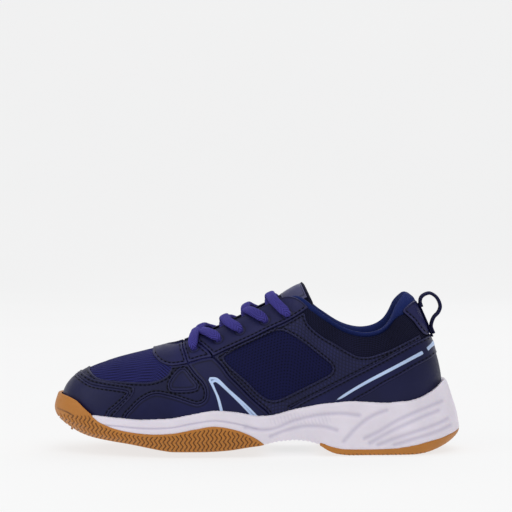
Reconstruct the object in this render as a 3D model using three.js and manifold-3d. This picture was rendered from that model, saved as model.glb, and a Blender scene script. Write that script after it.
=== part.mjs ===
// Court shoe, left foot. Millimetres, +Z up, toe towards -X, lateral side towards -Y.
import * as THREE from 'three';
import { ParametricGeometry } from 'three/addons/geometries/ParametricGeometry.js';
import { mergeGeometries, mergeVertices } from 'three/addons/utils/BufferGeometryUtils.js';
import Module from 'manifold-3d';

const wasm = await Module();
wasm.setup();
const { Manifold, Mesh: SolidMesh } = wasm;

// ---- driving dimensions -------------------------------------------------------------
const SHOE_LENGTH = 300;        // toe bumper to heel flare
const SHOE_WIDTH = 106;         // widest plan width, across the ball
const SHAFT_HEIGHT = 117;       // heel tab above the ground
const GAP = 0.3;                // clearance between pieces that touch
const LINING = 1.3;             // lining fabric
const STIFFENER = 1.0;          // heel stiffener and toe puff board
const COLLAR_PADDING = 5.5;     // extra foam depth at the collar
const MESH = 0.9;               // knit fabric of the shell
const OVERLAY = 1.0;            // welded overlay film and leather
const TRIM = 0.8;               // toe cap, strap, heel tab
const STRIPE = 0.6;             // side and heel stripes
const SOLE_PLATE = 3.4;         // rubber under the foot
const SOLE_WALL = 3.0;          // rubber up the sides
const STROBEL_BOARD = 1.5;      // board the upper is sewn to
const INSOLE = 3.6;             // removable sockliner
const INSOLE_CUP = 4;           // how far its edge rises round the heel
const SHANK_THICKNESS = 2.0;    // stiff plate under the arch
const SHANK_HALF_WIDTH = 20;
const TONGUE_HALF_WIDTH = 22.5;
const TONGUE_FACE = 1.0;
const TONGUE_FOAM = 3.2;
const LACE_DIAMETER = 3.4;
const EYELET_CLEARANCE = 1.1;   // all round the lace
const AGLET_LENGTH = 22;
const AGLET_WALL = 0.5;
const TAB_WIDTH = 12;           // pull tab webbing
const TAB_THICKNESS = 1.6;

const STATIONS = 17;            // stations from heel back to toe tip, each side
const RING = 2 * STATIONS;
const THROAT = 12;              // station where the throat opening ends
const AROUND = RING;            // facets round the shoe
const EYELET_DIAMETER = LACE_DIAMETER + 2 * EYELET_CLEARANCE;

// offsets of the layers from the base surface, outwards positive
const MESH_IN = 0;
const MESH_OUT = MESH_IN + MESH;
const OVERLAY_IN = MESH_OUT + GAP;
const OVERLAY_OUT = OVERLAY_IN + OVERLAY;
const TRIM_IN = OVERLAY_OUT + GAP;
const TRIM_OUT = TRIM_IN + TRIM;
const STRIPE_IN = TRIM_OUT + GAP;
const STRIPE_OUT = STRIPE_IN + STRIPE;
const BOARD_OUT = MESH_IN - GAP;
const BOARD_IN = BOARD_OUT - STIFFENER;
const LINING_OUT = BOARD_IN - GAP;
const LINING_IN = LINING_OUT - LINING;

// the shape tables below are drawn for a 300 x 106 x 117 mm shoe and scaled to size
const SX = SHOE_LENGTH / 300;
const SY = SHOE_WIDTH / 106;
const SZ = SHAFT_HEIGHT / 117;
const CENTRE_Y = 3.5 * SY;      // heel centre line
const SIDE_SPLIT_Y = 2 * SY;    // plane between lateral and medial pieces

// ---- shape of the last, station by station -------------------------------------------
const feather = {
  x: [134, 129, 117, 101, 82, 62, 42, 22, 2, -18, -38, -58, -78, -97, -114, -128, -138, -142.5],
  z: [31, 31, 30.5, 30, 30, 30, 28.5, 26.5, 24.5, 22, 20, 19, 19.5, 21, 24, 27.5, 30.5, 32],
  lateral: [3.5, -11.5, -24, -30.5, -33.5, -35.5, -37, -39, -42, -45, -47, -46.5, -43.5, -38.5,
    -31, -21, -8.5, 6],
  medial: [3.5, 18, 29.5, 34.5, 36, 35.5, 34, 33.5, 35.5, 39, 43, 46, 46.5, 43.5, 37.5, 28.5, 19, 6],
};
const topLine = {
  x: [114, 111, 103.5, 94, 80, 64, 48, 29, 9, -11, -31, -55, -67, -84, -99, -107.5, -110.8, -112],
  z: [113.5, 113.5, 106.5, 93, 88.5, 92, 102, 115, 107.5, 97.5, 88, 78.5, 76.3, 72, 68.2, 65.6,
    64.4, 64],
  lateral: [3.5, -8.5, -19, -26, -29, -29, -26.5, -21.5, -17, -16, -15.2, -13, 0.5, 1.5, 2, 2.7, 2.9, 3],
  medial: [3.5, 15.5, 26, 31.5, 33.5, 32.5, 29.5, 24.5, 20, 18.5, 17.5, 15, 0.5, 1.5, 2, 2.7, 2.9, 3],
};
// how the wall leaves the feather line: along x, outwards, up, and how far
const rise = {
  x: [0.28, 0.24, 0.1, 0, 0, 0, 0, 0, 0, 0, 0, 0, 0, 0, -0.03, -0.07, -0.1, -0.12],
  out: [0, 0.1, 0.16, 0.16, 0.14, 0.1, 0.06, 0.05, 0.05, 0.06, 0.08, 0.1, 0.1, 0.1, 0.09, 0.06, 0.03, 0],
  up: [0.96, 0.96, 0.98, 0.98, 0.99, 0.99, 0.99, 0.99, 0.99, 0.99, 0.99, 0.99, 0.99, 0.99, 0.99,
    0.99, 0.99, 0.99],
  reach: [26, 25, 23, 21, 20, 21, 25, 30, 32, 30, 27, 24, 21, 19, 17, 16, 16, 16],
};
// how the wall arrives at the top line: along x, inwards, up, and from how far
const close = {
  x: [-0.42, -0.38, -0.2, 0, 0, 0, 0, 0, 0, 0, 0, 0, 0],
  inwards: [0, 0.15, 0.25, 0.22, 0.2, 0.22, 0.3, 0.5, 0.78, 0.85, 0.88, 0.95, 1],
  up: [0.9, 0.9, 0.95, 0.97, 0.98, 0.97, 0.95, 0.87, 0.62, 0.52, 0.47, 0.3, 0],
  reach: [24, 22, 19, 16, 16, 17, 20, 24, 22, 20, 18, 18, 26],
};
const ridgeTurn = [0, 0, 4, 26, 58, 90];      // degrees, stations 12 to 17
const ridgeReach = [26, 27, 26, 25, 23, 20];
// ground outline of the sole and the heights of its edges
const soleOutline = {
  x: [150, 146.5, 134, 116, 98, 80, 60, 40, 20, 0, -20, -40, -62, -84, -105, -126, -143, -150],
  lateral: [3.5, -12, -27, -36, -39, -40, -41.5, -43.5, -46, -49, -51.5, -53, -53, -49.5, -42.5,
    -31.5, -15, 4.5],
  medial: [3.5, 19.5, 33.5, 40.5, 42, 41.5, 40, 39.5, 39.5, 41.5, 44.5, 48.5, 52.2, 53, 49.5, 41.5,
    27.5, 4.5],
  underCut: [6, 5, 4, 3, 3, 3, 3, 3, 3, 3, 3, 3, 3, 4, 6, 9, 12, 13],
  topCut: [9.5, 8.5, 6, 3.5, 2, 1.2, 0.8, 0.6, 0.4, 0.6, 0.6, 0.6, 0.8, 1, 1.5, 2, 2.5, 3],
  widestAt: [0.18, 0.2, 0.25, 0.3, 0.35, 0.4, 0.45, 0.5, 0.5, 0.5, 0.5, 0.5, 0.5, 0.5, 0.5, 0.55,
    0.6, 0.6],
};
const groundLine = [[-160, 27], [-150, 23], [-144, 18.5], [-136, 15.5], [-130, 13.8], [-114, 10],
  [-100, 6.7], [-85, 3.8], [-70, 1.2], [-62, 0], [-37, 0], [-28, 0.4], [-18, 1.2], [-8, 2.8],
  [2, 5.8], [8, 8.6], [16, 10.4], [28, 11.2], [38, 10], [46, 7.4], [52, 3.2], [58, 0.9], [66, 0],
  [116, 0], [124, 1], [133, 3.6], [142, 7], [150, 11], [160, 16]];
const biteLine = [[-160, 44], [-146, 42.4], [-138, 40.9], [-131, 38.3], [-128, 35], [-123, 31.2],
  [-119, 28.2], [-113, 28], [-99, 27], [-84, 26.2], [-62, 27.4], [-48, 30.2], [-34, 33], [-26, 33.2],
  [-12, 31.6], [1, 28.8], [13, 29.7], [28, 33.8], [46, 37.2], [68, 39.2], [93, 37.5], [111, 38.6],
  [119, 40.3], [127, 43.8], [133, 47.2], [138, 52], [160, 54]];

// ---- seams and edges, drawn in side elevation ------------------------------------------
const vampTabOutline = [[-78, 90], [-77, 75], [-75.5, 71], [-71, 67], [-66, 65], [-60, 64.6],
  [-50, 66.4], [-51.5, 70], [-53, 74], [-54.5, 78], [-56, 90]];
const mudguardOutline = [[-175, 5], [-175, 75], [-124, 75], [-124, 60], [-121, 57.5], [-116, 54.6],
  [-110, 53.6], [-100, 53], [-85, 52.6], [-77, 53], [-70, 55], [-65, 58], [-63, 61.5], [-62, 64.2],
  [-50, 65.9], [-44.5, 59], [-39, 53.5], [-36.4, 48.5], [-36, 44], [-37.4, 40.5], [-41, 38.3],
  [-44.5, 38.2], [-51, 40.2], [-58, 42.4], [-66, 44.3], [-72, 45], [-77, 44], [-84, 40], [-90, 34],
  [-96, 26], [-98, 5]];
const mudguardWindow = [[-62.8, 49], [-62.6, 53], [-58.6, 59], [-55, 62.2], [-52, 61.8], [-47.6, 56.6],
  [-43, 51.4], [-43.6, 49], [-48, 47.8], [-57, 47.4], [-61.5, 47.8]];
const toeRimOutline = [[-175, 5], [-175, 75], [-131.5, 75], [-131, 58.5], [-125, 56], [-119, 54],
  [-106, 52], [-92, 50.6], [-88.4, 48.4], [-89.4, 44], [-94, 38.5], [-100, 32], [-105, 24], [-106, 5]];
const toeCapOutline = [[-175, 5], [-175, 75], [-136.5, 75], [-135, 56.4], [-130, 54], [-122, 50.4],
  [-114, 49], [-102, 47.8], [-94, 46.6], [-92.6, 44.6], [-96, 40.4], [-102, 35], [-108, 28], [-110, 5]];
const eyestayFrontOutline = [[-50, 66.9], [-46, 68], [-41, 69.6], [-36, 70.6], [-32.4, 71.2],
  [-34.4, 74], [-40, 78.4], [-44.6, 82.4], [-50, 100], [-56, 90], [-54, 78], [-52.5, 74], [-51, 70]];
const eyestayOutline = [[-31.8, 71.8], [-23, 76], [-12, 81], [-1, 86], [9, 91], [21, 96.4], [31, 102],
  [37, 106], [43, 108], [50, 110], [46, 128], [10, 128], [-49.5, 100.5], [-44, 82.8], [-39.4, 78.8],
  [-33.8, 74.4]];
const quarterOutline = [[-31.3, 71.3], [-25, 65], [-20, 58.4], [-12, 50.6], [-5, 43.4], [2, 37],
  [8, 31.5], [14, 22], [30, 22], [30, 33], [24, 34.5], [35, 40], [46, 45.4], [57, 51], [68, 56.6],
  [79, 62], [89, 67], [104, 74.6], [113, 79], [121, 82.4], [119.4, 86], [108, 81], [97, 76],
  [85, 72], [79, 71], [73, 71.6], [68, 74], [56, 81], [46, 87], [39, 93], [36, 98], [35, 103.4],
  [31, 101.4], [21, 95.8], [9, 90.4], [-1, 85.4], [-12, 80.4], [-23, 75.4]];
const quarterWindow = [[-23, 68.8], [-24, 71], [-20, 73.8], [-12, 78.2], [2, 84.8], [12, 89.2],
  [17, 90], [22, 88.6], [32, 82.6], [46, 72], [53, 66], [55, 62.2], [53, 59], [46, 55], [31, 47.6],
  [21, 42.8], [14, 40.4], [8, 41.2], [1, 46], [-8, 55], [-18, 63.4]];
const sidePanelOutline = [[-97.4, 5], [-95.4, 26.4], [-89.4, 34.6], [-83.4, 40.6], [-76.6, 44.6],
  [-72, 45.6], [-65.8, 44.9], [-57.8, 43], [-50.8, 40.8], [-44.4, 38.8], [-41.2, 38.9], [-38, 41],
  [-36.6, 44.2], [-37, 48.6], [-39.6, 53.8], [-45, 59.4], [-49.6, 65.2], [-49, 66.4], [-45.8, 67.4],
  [-40.8, 69], [-35.8, 70], [-32, 70.6], [-25.5, 64.6], [-20.5, 58], [-12.5, 50.2], [-5.5, 43],
  [1.5, 36.6], [7.4, 31.2], [13, 22], [13, 5]];
const heelCounterOutline = [[31, 5], [31, 33.2], [36, 39.6], [46, 44.8], [57, 50.4], [68, 56], [79, 61.4],
  [89, 66.4], [104, 74], [113, 78.4], [122, 82], [150, 92], [160, 60], [160, 5]];
const heelStrapOutline = [[24.6, 34.6], [35, 40.6], [46, 46], [57, 51.6], [68, 57.2], [79, 62.6],
  [89, 67.6], [104, 75.2], [113, 79.6], [123, 83.4], [129, 85.2], [150, 92], [150, 78], [133, 71],
  [127, 68], [115, 63], [104, 57], [93, 51.6], [82, 45], [71, 39], [60, 31], [50, 22], [30, 22]];
const heelTabOutline = [[100, 135], [108.6, 112], [107.6, 108], [107, 103], [110.6, 100], [115, 96],
  [118, 92], [121, 88.4], [124, 85.8], [129, 86], [150, 93], [150, 135]];
const heelStripeOutline = [[56, 39.6], [62, 43.8], [71, 49.2], [82, 55.8], [93, 61.4], [104, 66.8],
  [113, 71.2], [121, 74.8], [128, 78.8], [131.5, 80.8], [145, 84], [145, 79], [132, 77], [128, 75.4],
  [122, 72], [113, 67.6], [104, 63.4], [93, 57.8], [82, 52.4], [74, 49], [67, 45.4], [60, 40.6]];
const sideStripeOutline = [[-35, 55], [-34, 57.2], [-28, 56.4], [-20, 49], [-12, 42], [-5, 35.4],
  [2, 28], [-3, 26], [-10, 33.4], [-17.6, 41.4], [-25, 49.4], [-29.4, 53.4], [-31.4, 53], [-27, 45.6],
  [-23, 38.6], [-19, 28], [-25, 28], [-28.4, 41.4], [-31.6, 49]];
const gumForefoot = [[-175, -10], [-175, 60], [-120.5, 60], [-120, 28.2], [-113, 23.4], [-98, 18.8],
  [-77, 16.6], [-59, 17.6], [-44, 20.5], [-30, 22.4], [-16, 20], [-5, 15.8], [4, 9.8], [7, 4],
  [7, -10]];
const gumHeel = [[44, -10], [45, 9.8], [47, 9.6], [60, 7], [73, 4.8], [96, 4.8], [111, 6.6], [126, 9.4],
  [142, 13], [160, 19], [160, -10]];
// tongue face, from under the vamp up to its free edge
const tongueLine = [[-78, 66.4], [-67, 70], [-58, 72.6], [-49, 76.6], [-35, 84], [-20, 91.2], [-5, 98],
  [10, 105.6], [20, 111.2], [28, 117.2], [33.5, 123.6]];
const TONGUE_DROP = 0.028;                     // fall of the face per square mm off centre
const TONGUE_TOP_DROP = 0.016;                 // the same at its free edge
const TONGUE_HINGE = 0.76;                     // share of its length where the top flexes
const eyeletStations = [10.55, 9.8, 9.0, 8.1, 7.3];
const EYELET_HEIGHT = 0.8;                     // share of the way up the wall

// ---- helpers -------------------------------------------------------------------------
const parts = new THREE.Group();
const clamp = THREE.MathUtils.clamp;
const smooth = (v, low, high) => THREE.MathUtils.smoothstep(v, low, high);

function table(pairs, x) {
  // height at x of a line given as (x, z) points
  const drawn = x / SX;
  let k = 1;
  while (k < pairs.length - 1 && pairs[k][0] < drawn) k += 1;
  const [x0, z0] = pairs[k - 1];
  const [x1, z1] = pairs[k];
  return SZ * THREE.MathUtils.lerp(z0, z1, clamp((drawn - x0) / (x1 - x0), 0, 1));
}

function ringOf(side) {
  // lateral stations from heel to toe, then medial ones back to the heel
  return side.x.map((_, i) => ({ i, y: side.lateral[i] }))
    .concat(side.x.map((_, i) => ({ i, y: side.medial[i] })).slice(1, -1).reverse());
}

const closedCurve = (points) => new THREE.CatmullRomCurve3(points, true, 'catmullrom', 0.5);
const openCurve = (points) => new THREE.CatmullRomCurve3(points, false, 'catmullrom', 0.5);

const featherCurve = closedCurve(ringOf(feather).map(({ i, y }) => (
  new THREE.Vector3(feather.x[i] * SX, y * SY, feather.z[i] * SZ))));
const riseCurve = closedCurve(Array.from({ length: RING }, (_, k) => {
  const i = k <= STATIONS ? k : RING - k;
  const side = k <= STATIONS ? -1 : 1;
  return new THREE.Vector3(rise.x[i] * SX, side * rise.out[i] * SY, rise.up[i] * SZ)
    .multiplyScalar(rise.reach[i]);
}));
const openStations = Array.from({ length: 2 * THROAT + 1 }, (_, k) => k - THROAT);
const topCurve = openCurve(openStations.map((k) => {
  const i = Math.abs(k);
  const y = k >= 0 ? topLine.lateral[i] : topLine.medial[i];
  return new THREE.Vector3(topLine.x[i] * SX, y * SY, topLine.z[i] * SZ);
}));
const closeCurve = openCurve(openStations.map((k) => {
  const i = Math.abs(k);
  const side = k >= 0 ? 1 : -1;
  return new THREE.Vector3(close.x[i] * SX, side * close.inwards[i] * SY, close.up[i] * SZ)
    .multiplyScalar(close.reach[i]);
}));
const ridgeStations = Array.from({ length: STATIONS - THROAT + 1 }, (_, k) => k + THROAT);
const ridgeCurve = openCurve(ridgeStations.map((i) => (
  new THREE.Vector3(topLine.x[i] * SX, topLine.lateral[i] * SY, topLine.z[i] * SZ))));
const turnCurve = openCurve(ridgeStations.map((i) => (
  new THREE.Vector3(ridgeTurn[i - THROAT], ridgeReach[i - THROAT], 0))));

const signed = (t) => THREE.MathUtils.euclideanModulo(t + STATIONS, RING) - STATIONS;
const onRidge = (t) => Math.abs(signed(t)) >= THROAT;

function ridgeAt(t) {
  const share = clamp((Math.abs(signed(t)) - THROAT) / (STATIONS - THROAT), 0, 1);
  const point = ridgeCurve.getPoint(share);
  const along = ridgeCurve.getTangent(share).setY(0).normalize();
  return { point, along, turn: turnCurve.getPoint(share) };
}

function wall(t, q) {
  // point of the base surface: t runs round the shoe, q from the feather line to the top line
  const ring = THREE.MathUtils.euclideanModulo(t, RING) / RING;
  const start = featherCurve.getPoint(ring);
  const leave = riseCurve.getPoint(ring).add(start);
  let end;
  let arrive;
  if (onRidge(t)) {
    const ridge = ridgeAt(t);
    const angle = THREE.MathUtils.degToRad(ridge.turn.x);
    const side = signed(t) > 0 ? 1 : -1;
    const back = ridge.along.clone().multiplyScalar(-Math.sin(angle));
    back.y = side * Math.cos(angle) * (Math.abs(signed(t)) >= STATIONS ? 0 : 1);
    end = ridge.point;
    arrive = end.clone().addScaledVector(back, -ridge.turn.y);
  } else {
    const share = (signed(t) + THROAT) / (2 * THROAT);
    end = topCurve.getPoint(share);
    arrive = end.clone().sub(closeCurve.getPoint(share));
  }
  if (q >= 1) return end;
  const r = 1 - q;
  return start.multiplyScalar(r * r * r)
    .addScaledVector(leave, 3 * r * r * q)
    .addScaledVector(arrive, 3 * r * q * q)
    .addScaledVector(end, q * q * q);
}

function wallNormal(t, q) {
  if (q >= 1 && onRidge(t)) {
    const { along } = ridgeAt(t);
    return new THREE.Vector3(along.z, 0, -along.x).normalize();
  }
  const step = 1e-3;
  const height = clamp(q, 2 * step, 0.985);
  const around = wall(t + step, height).sub(wall(t - step, height));
  const up = wall(t, height + step).sub(wall(t, height - step));
  return up.cross(around).normalize();
}

const offWall = (t, q, offset) => wall(t, q).addScaledVector(wallNormal(t, q), offset);

function patch(point, columns, rows, flipped = false) {
  const geometry = new ParametricGeometry((u, v, target) => target.copy(point(u, v)), columns, rows);
  if (flipped) {
    const corners = geometry.index.array;
    for (let i = 0; i < corners.length; i += 3) {
      [corners[i + 1], corners[i + 2]] = [corners[i + 2], corners[i + 1]];
    }
  }
  return geometry;
}

function weld(pieces) {
  const geometry = Array.isArray(pieces) ? mergeGeometries(pieces) : pieces;
  geometry.deleteAttribute('normal');
  geometry.deleteAttribute('uv');
  return mergeVertices(geometry, 1e-3);
}

function solid(geometry) {
  const welded = weld(geometry);
  const corners = welded.index.array;
  const kept = [];
  for (let i = 0; i < corners.length; i += 3) {
    const [a, b, c] = [corners[i], corners[i + 1], corners[i + 2]];
    if (a !== b && b !== c && c !== a) kept.push(a, b, c);
  }
  const build = (triangles) => new Manifold(new SolidMesh({
    numProp: 3,
    vertProperties: new Float32Array(welded.attributes.position.array),
    triVerts: new Uint32Array(triangles),
  }));
  return build(kept);
}

function add(name, body, colour, roughness = 0.7, metalness = 0, parent = parts) {
  // one named mesh from a solid, in its own material
  const pieces = body.decompose().sort((a, b) => b.volume() - a.volume());
  const mesh = pieces[0].getMesh();
  const geometry = new THREE.BufferGeometry();
  geometry.setAttribute('position', new THREE.BufferAttribute(mesh.vertProperties, 3));
  geometry.setIndex(new THREE.BufferAttribute(mesh.triVerts, 1));
  const material = new THREE.MeshStandardMaterial({ color: colour, roughness, metalness });
  const piece = new THREE.Mesh(geometry, material);
  piece.name = name;
  parent.add(piece);
  return piece;
}

function ring(inner, outer, top = () => 1) {
  // closed shell all round the shoe, sealed along the ridge in front of the throat
  const rows = wallRows;
  const at = (side) => (t, k) => {
    const q = Math.min(rows[k], top(t));
    return offWall(t, q, side(t, q));
  };
  const face = (side) => (u, v) => at(side)(u * RING, Math.round(v * (rows.length - 1)));
  const rim = (k) => (u, v) => at(v < 0.5 ? inner : outer)(u * RING, k);
  const mouth = (u, v) => at(v < 0.5 ? inner : outer)(
    THREE.MathUtils.lerp(-THROAT, THROAT, u), rows.length - 1);
  const last = rows.length - 1;
  return solid([
    patch(face(outer), AROUND, last, true),
    patch(face(inner), AROUND, last),
    patch(rim(0), AROUND, 1, true),
    patch(mouth, (2 * THROAT * AROUND) / RING, 1),
  ]);
}

function slab(facets, heights, inner, outer) {
  // closed piece of wall, the same number of facets either side of the heel
  const columns = 2 * facets;
  const rows = heights.length - 1;
  const at = (side, u, v) => {
    const t = (THREE.MathUtils.lerp(-facets, facets, u) * RING) / AROUND;
    const q = heights[Math.round(v * rows)];
    return offWall(t, q, side(t, q));
  };
  const across = (u, v, w) => at(w < 0.5 ? inner : outer, u, v);
  return solid([
    patch((u, v) => at(outer, u, v), columns, rows, true),
    patch((u, v) => at(inner, u, v), columns, rows),
    patch((u, v) => across(u, 0, v), columns, 1, true),
    patch((u, v) => across(u, 1, v), columns, 1),
    patch((u, v) => across(0, u, v), rows, 1),
    patch((u, v) => across(1, u, v), rows, 1, true),
  ]);
}

function prism(outline, y0 = -80, y1 = 80) {
  // side elevation outline carried across the shoe
  const shape = new THREE.Shape(outline.map(([x, z]) => new THREE.Vector2(x * SX, z * SZ)));
  const geometry = new THREE.ExtrudeGeometry(shape, { depth: y1 - y0, bevelEnabled: false, steps: 1 });
  geometry.rotateX(Math.PI / 2);
  geometry.translate(0, y1, 0);
  return solid(geometry);
}

function grow(outline, distance) {
  // the same outline moved outwards by a distance
  const area = THREE.ShapeUtils.area(outline.map(([x, z]) => ({ x, y: z })));
  const turn = Math.sign(area);
  const count = outline.length;
  return outline.map(([x, z], k) => {
    const [px, pz] = outline[(k + count - 1) % count];
    const [nx, nz] = outline[(k + 1) % count];
    const before = new THREE.Vector2(x - px, z - pz).normalize();
    const after = new THREE.Vector2(nx - x, nz - z).normalize();
    const normal = new THREE.Vector2(before.y + after.y, -before.x - after.x).normalize();
    const cosine = Math.max(0.5, normal.dot(new THREE.Vector2(before.y, -before.x)));
    const step = (turn * distance) / cosine;
    return [x + normal.x * step, z + normal.y * step];
  });
}

const sides = [
  { name: 'lateral', y0: -80, y1: SIDE_SPLIT_Y - GAP / 2, at: (t) => t },
  { name: 'medial', y0: SIDE_SPLIT_Y + GAP / 2, y1: 80, at: (t) => RING - t },
];
const constant = (value) => () => value;
const wallRows = [0, 0.2, 0.42, 0.62, 0.8, 0.93, 0.96, 1];

// ---- sole unit ----------------------------------------------------------------------
const soleRing = closedCurve(ringOf(soleOutline).map(({ i, y }) => (
  new THREE.Vector3(soleOutline.x[i] * SX, y * SY, 0))));
const cutRing = closedCurve(ringOf(soleOutline).map(({ i }) => (
  new THREE.Vector3(soleOutline.underCut[i], soleOutline.topCut[i], soleOutline.widestAt[i]))));

function soleBody(inset, lift) {
  // envelope of the sole, drawn in by an inset and with its underside lifted
  const heights = [0.18, 0.4, 0.6, 0.8, 1];
  const rows = 3 + heights.length + 1;
  const point = (u, v) => {
    const k = Math.round(v * rows);
    const edge = soleRing.getPoint(u);
    const tangent = soleRing.getPoint((u + 1e-4) % 1).sub(soleRing.getPoint((u + 1 - 1e-4) % 1));
    const outwards = new THREE.Vector3(-tangent.y, tangent.x, 0).normalize();
    if (outwards.dot(edge) < 0) outwards.negate();
    const cuts = cutRing.getPoint(u);
    const spine = new THREE.Vector3(edge.x * 0.93, CENTRE_Y, 0);
    const foot = (p) => p.setZ(table(groundLine, p.x) + lift);
    const deck = (p) => p.setZ(table(biteLine, p.x));
    const under = edge.clone().addScaledVector(outwards, -cuts.x - inset);
    if (k === 0) return foot(spine);
    if (k === 1) return foot(spine.lerp(under, 0.5));
    if (k === 2) return foot(under);
    if (k <= 2 + heights.length) {
      const h = heights[k - 3];
      const tuck = cuts.x * Math.max(0, 1 - h / cuts.z) ** 2.2;
      const lean = cuts.y * Math.max(0, (h - cuts.z) / (1 - cuts.z)) ** 1.4;
      const place = edge.clone().addScaledVector(outwards, -tuck - lean - inset);
      const low = table(groundLine, under.x) + lift;
      const high = table(biteLine, edge.x - outwards.x * (cuts.y + inset));
      return place.setZ(THREE.MathUtils.lerp(low, high, h));
    }
    const rim = edge.clone().addScaledVector(outwards, -cuts.y - inset);
    if (k === rows - 1) return deck(spine.lerp(rim, 0.5));
    return deck(spine);
  };
  return solid(patch(point, AROUND, rows, true));
}

function pocket(offset, drop) {
  // room taken by the upper, from just under the feather line to above the sole
  const heights = [0, 0.2, 0.42, 0.62];
  const rows = heights.length + 1;
  const point = (u, v) => {
    const k = Math.round(v * rows);
    const t = u * RING;
    if (k === 0 || k === rows) {
      const height = k === 0 ? 0 : heights[heights.length - 1];
      const level = wall(t, height);
      const other = wall(RING - t, height);
      return new THREE.Vector3(level.x * 0.9, CENTRE_Y, (level.z + other.z) / 2 - drop);
    }
    const place = offWall(t, heights[k - 1], offset);
    return k === 1 ? place.setZ(place.z - drop) : place;
  };
  return solid(patch(point, AROUND, rows, true));
}

function plate(inset, low, high, cup = 0) {
  // flat board following the bottom of the last
  const heel = (t) => cup * (1 - smooth(Math.abs(signed(t)), 2.5, 7));
  const loop = (u, height, lip) => {
    const t = u * RING;
    const base = wall(t, 0);
    const outwards = wallNormal(t, 0).setZ(0).normalize();
    return base.addScaledVector(outwards, -inset).setZ(base.z + height + lip * heel(t));
  };
  const spine = (u, height) => {
    const base = wall(u * RING, 0);
    return new THREE.Vector3(base.x * 0.9, CENTRE_Y, base.z + height);
  };
  const inner = (u, height) => loop(u, height, 0).lerp(spine(u, height), 0.3);
  const rows = [(u) => spine(u, low), (u) => inner(u, low), (u) => loop(u, low, 0),
    (u) => loop(u, high, 1), (u) => inner(u, high), (u) => spine(u, high)];
  return solid(patch((u, v) => rows[Math.round(v * 5)](u), AROUND, 5, true));
}

const POCKET_OFFSET = TRIM_OUT + GAP;
const envelope = soleBody(0, 0);
const room = pocket(POCKET_OFFSET, GAP);
const core = soleBody(SOLE_WALL, SOLE_PLATE);
const coreClear = soleBody(SOLE_WALL + GAP, SOLE_PLATE + GAP);
const rubber = envelope.subtract(core).subtract(room);
add('outsole_forefoot', rubber.intersect(prism(gumForefoot)), 0xb4722f, 0.75);
add('outsole_heel', rubber.intersect(prism(gumHeel)), 0xb4722f, 0.75);

const shankBlock = prism([[9, -5], [9, 30], [43, 30], [43, -5]], CENTRE_Y - SHANK_HALF_WIDTH * SY,
  CENTRE_Y + SHANK_HALF_WIDTH * SY);
const shankClear = prism([[8.7, -5], [8.7, 30], [43.3, 30], [43.3, -5]],
  CENTRE_Y - SHANK_HALF_WIDTH * SY - GAP, CENTRE_Y + SHANK_HALF_WIDTH * SY + GAP);
const shankLifted = soleBody(0, SHANK_THICKNESS);
const shankLiftedClear = soleBody(0, SHANK_THICKNESS + GAP);
add('shank_plate', envelope.intersect(shankBlock).subtract(shankLifted), 0x2a2b33, 0.4);
const foam = envelope.subtract(prism(grow(gumForefoot, GAP))).subtract(prism(grow(gumHeel, GAP)));
const midsole = foam.add(coreClear.intersect(envelope)).subtract(room)
  .subtract(shankClear.subtract(shankLiftedClear));
add('midsole', midsole, 0xddd6e0, 0.6);

const BOARD_INSET = -LINING_IN + GAP + 0.8;
const BOARD_LIFT = 0.2;
add('strobel_board', plate(BOARD_INSET, BOARD_LIFT, BOARD_LIFT + STROBEL_BOARD), 0xcfcabd, 0.9);

// ---- upper: lining, stiffening and padding --------------------------------------------
const padding = (t, q) => COLLAR_PADDING * (1 - smooth(Math.abs(signed(t)), 4.6, 6.4))
  * smooth(q, 0.5, 0.72);
const collarLip = (t, q) => (1 - smooth(Math.abs(signed(t)), 5.8, 7.2)) * smooth(q, 0.935, 0.955);
const liningFace = (t, q) => THREE.MathUtils.lerp(LINING_OUT - padding(t, q), MESH_OUT, collarLip(t, q));
const liningBack = (t, q) => LINING_IN - padding(t, q) * (1 - 0.35 * smooth(q, 0.93, 1));
const shellTop = (t) => THREE.MathUtils.lerp(0.93, 1, smooth(Math.abs(signed(t)), 6.4, 7.6));

const eyelets = sides.flatMap((side) => eyeletStations.map((t) => {
  const place = wall(side.at(t), EYELET_HEIGHT);
  const normal = wallNormal(side.at(t), EYELET_HEIGHT);
  return { side, t, place, normal };
}));

function punch(body) {
  // the eyelet holes
  return eyelets.reduce((left, eyelet) => {
    const pin = new THREE.CylinderGeometry(EYELET_DIAMETER / 2, EYELET_DIAMETER / 2, 30, 8);
    const turn = new THREE.Quaternion().setFromUnitVectors(new THREE.Vector3(0, 1, 0), eyelet.normal);
    pin.applyQuaternion(turn);
    pin.translate(eyelet.place.x, eyelet.place.y, eyelet.place.z);
    return left.subtract(solid(pin));
  }, body);
}

const front = (x0, x1) => [[-175, 0], [-175, 140], [x1, 140], [x0, 0]];
const behind = (x0, x1) => [[x0, 0], [x1, 140], [175, 140], [175, 0]];
const lining = punch(ring(liningBack, liningFace));
add('vamp_lining', lining.intersect(prism(front(-44, -66))), 0x2c3a72, 0.9);
add('quarter_lining', lining.intersect(prism(behind(-44 + GAP, -66 + GAP))), 0x2c3a72, 0.9);
add('heel_stiffener', slab(5, [0, 0.2, 0.417], constant(BOARD_IN), constant(BOARD_OUT)), 0xb8b2a6, 0.6);
const foamBack = (t, q) => BOARD_IN - padding(t, q);
add('collar_foam', slab(7, [0.424, 0.62, 0.8, 0.925], foamBack, constant(BOARD_OUT)), 0xe6dfc8, 0.95);
const board = ring(constant(BOARD_IN), constant(BOARD_OUT));
add('toe_puff', board.intersect(prism(front(-104, -112))), 0xb8b2a6, 0.6);

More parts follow.
